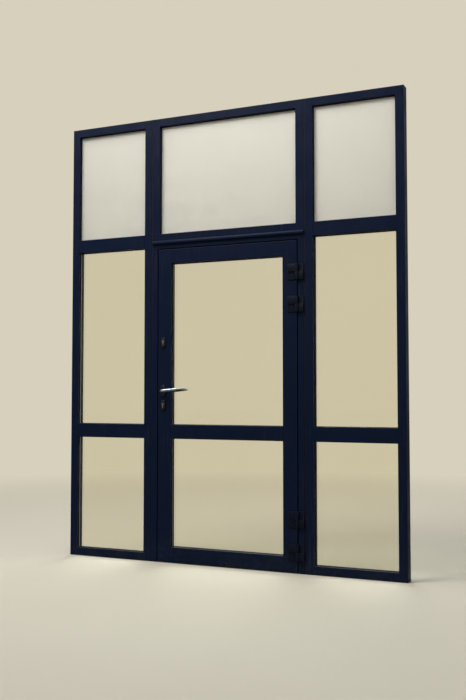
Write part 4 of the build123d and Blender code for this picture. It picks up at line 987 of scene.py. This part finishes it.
def build_surround(studio):
    """World: pale to the camera, soft grey light to everything else."""
    world = bpy.data.worlds.new("studio_surround")
    world.use_nodes = True
    tree = world.node_tree
    tree.nodes.clear()
    shown = node(tree, "Background", {"Color": studio.backdrop, "Strength": 1.0}).outputs[0]
    light = node(tree, "Background", {"Color": SOFT_SKY, "Strength": studio.ambient}).outputs[0]
    output = tree.nodes.new("ShaderNodeOutputWorld")
    tree.links.new(pale_for_views(tree, shown, light), output.inputs["Surface"])
    bpy.context.scene.world = world


def add_lamp(name, power, side, at, towards):
    """Large soft square lamp aimed at a point."""
    data = bpy.data.lights.new(name, "AREA")
    data.energy = power
    data.size = side
    lamp = bpy.data.objects.new(name, data)
    bpy.context.scene.collection.objects.link(lamp)
    lamp.location = at
    lamp.rotation_euler = (Vector(towards) - Vector(at)).to_track_quat("-Z", "Y").to_euler()


def build_studio(studio):
    """Floor, surround, four lamps and the camera."""
    build_floor(studio)
    build_surround(studio)
    for name, side, at, towards in LAMPS:
        add_lamp(name + "_lamp", getattr(studio, name), side, at, towards)
    data = bpy.data.cameras.new("front_camera")
    data.lens = studio.lens
    data.sensor_width = SENSOR_WIDTH
    data.sensor_fit = "AUTO"
    data.clip_start = NEAREST_VIEW
    data.clip_end = FARTHEST_VIEW
    camera = bpy.data.objects.new("front_camera", data)
    bpy.context.scene.collection.objects.link(camera)
    camera.location = studio.camera_place
    camera.rotation_euler = studio.camera_turn
    bpy.context.scene.camera = camera
    bpy.context.scene.view_settings.view_transform = "Standard"


# Operators

class DOOR_OT_finishes(bpy.types.Operator):
    """Makes every finish and puts it on the CAD nodes"""

    bl_idname = "door.finishes"
    bl_label = "Finishes"

    def execute(self, context):
        make_finishes(context.scene.door_finishes)
        dress_nodes()
        return {"FINISHED"}


class DOOR_OT_levers(bpy.types.Operator):
    """Models the outside and the inside lever"""

    bl_idname = "door.levers"
    bl_label = "Levers"

    def execute(self, context):
        build_levers(context.scene.door_hardware)
        return {"FINISHED"}


class DOOR_OT_roses(bpy.types.Operator):
    """Models the oval roses under the levers"""

    bl_idname = "door.roses"
    bl_label = "Roses"

    def execute(self, context):
        build_roses(context.scene.door_hardware)
        return {"FINISHED"}


class DOOR_OT_escutcheons(bpy.types.Operator):
    """Models the escutcheons round the lock cylinders"""

    bl_idname = "door.escutcheons"
    bl_label = "Escutcheons"

    def execute(self, context):
        build_escutcheons(context.scene.door_hardware)
        return {"FINISHED"}


class DOOR_OT_hinges(bpy.types.Operator):
    """Eases the edges of the hinge halves"""

    bl_idname = "door.hinges"
    bl_label = "Hinges"

    def execute(self, context):
        build_hinges(context.scene.door_hardware)
        return {"FINISHED"}


class DOOR_OT_screws(bpy.types.Operator):
    """Models the screws of the hinges and the lock's plates"""

    bl_idname = "door.screws"
    bl_label = "Screws"

    def execute(self, context):
        build_screws()
        return {"FINISHED"}


class DOOR_OT_locks(bpy.types.Operator):
    """Eases the edges of cylinders, cores, bolts, plates and sheet metal"""

    bl_idname = "door.locks"
    bl_label = "Locks"

    def execute(self, context):
        build_locks(context.scene.door_hardware)
        return {"FINISHED"}


class DOOR_OT_studio(bpy.types.Operator):
    """Sets up the floor, the surround, the lamps and the camera"""

    bl_idname = "door.studio"
    bl_label = "Studio"

    def execute(self, context):
        build_studio(context.scene.door_studio)
        return {"FINISHED"}


OPERATORS = (
    DOOR_OT_finishes, DOOR_OT_levers, DOOR_OT_roses, DOOR_OT_escutcheons, DOOR_OT_hinges,
    DOOR_OT_screws, DOOR_OT_locks, DOOR_OT_studio,
)


class DOOR_PT_panel(bpy.types.Panel):
    """Lists the steps that dress the door, and their values"""

    bl_idname = "DOOR_PT_panel"
    bl_label = "Glazed door"
    bl_space_type = "VIEW_3D"
    bl_region_type = "UI"
    bl_category = "Door"

    def draw(self, context):
        layout = self.layout
        for step in OPERATORS:
            layout.operator(step.bl_idname)
        for group in (context.scene.door_finishes, context.scene.door_hardware, context.scene.door_studio):
            box = layout.box()
            for label in group.__annotations__:
                box.prop(group, label)


SETTINGS = (("door_finishes", DoorFinishes), ("door_hardware", DoorHardware), ("door_studio", DoorStudio))


def register():
    for _, group in SETTINGS:
        bpy.utils.register_class(group)
    for name, group in SETTINGS:
        setattr(bpy.types.Scene, name, PointerProperty(type=group))
    for step in OPERATORS + (DOOR_PT_panel,):
        bpy.utils.register_class(step)


def unregister():
    for step in reversed(OPERATORS + (DOOR_PT_panel,)):
        bpy.utils.unregister_class(step)
    for name, group in reversed(SETTINGS):
        delattr(bpy.types.Scene, name)
        bpy.utils.unregister_class(group)


def main():
    """Dresses the door step by step."""
    register()
    for step in OPERATORS:
        group, label = step.bl_idname.split(".")
        getattr(getattr(bpy.ops, group), label)()


if __name__ == "__main__":
    main()
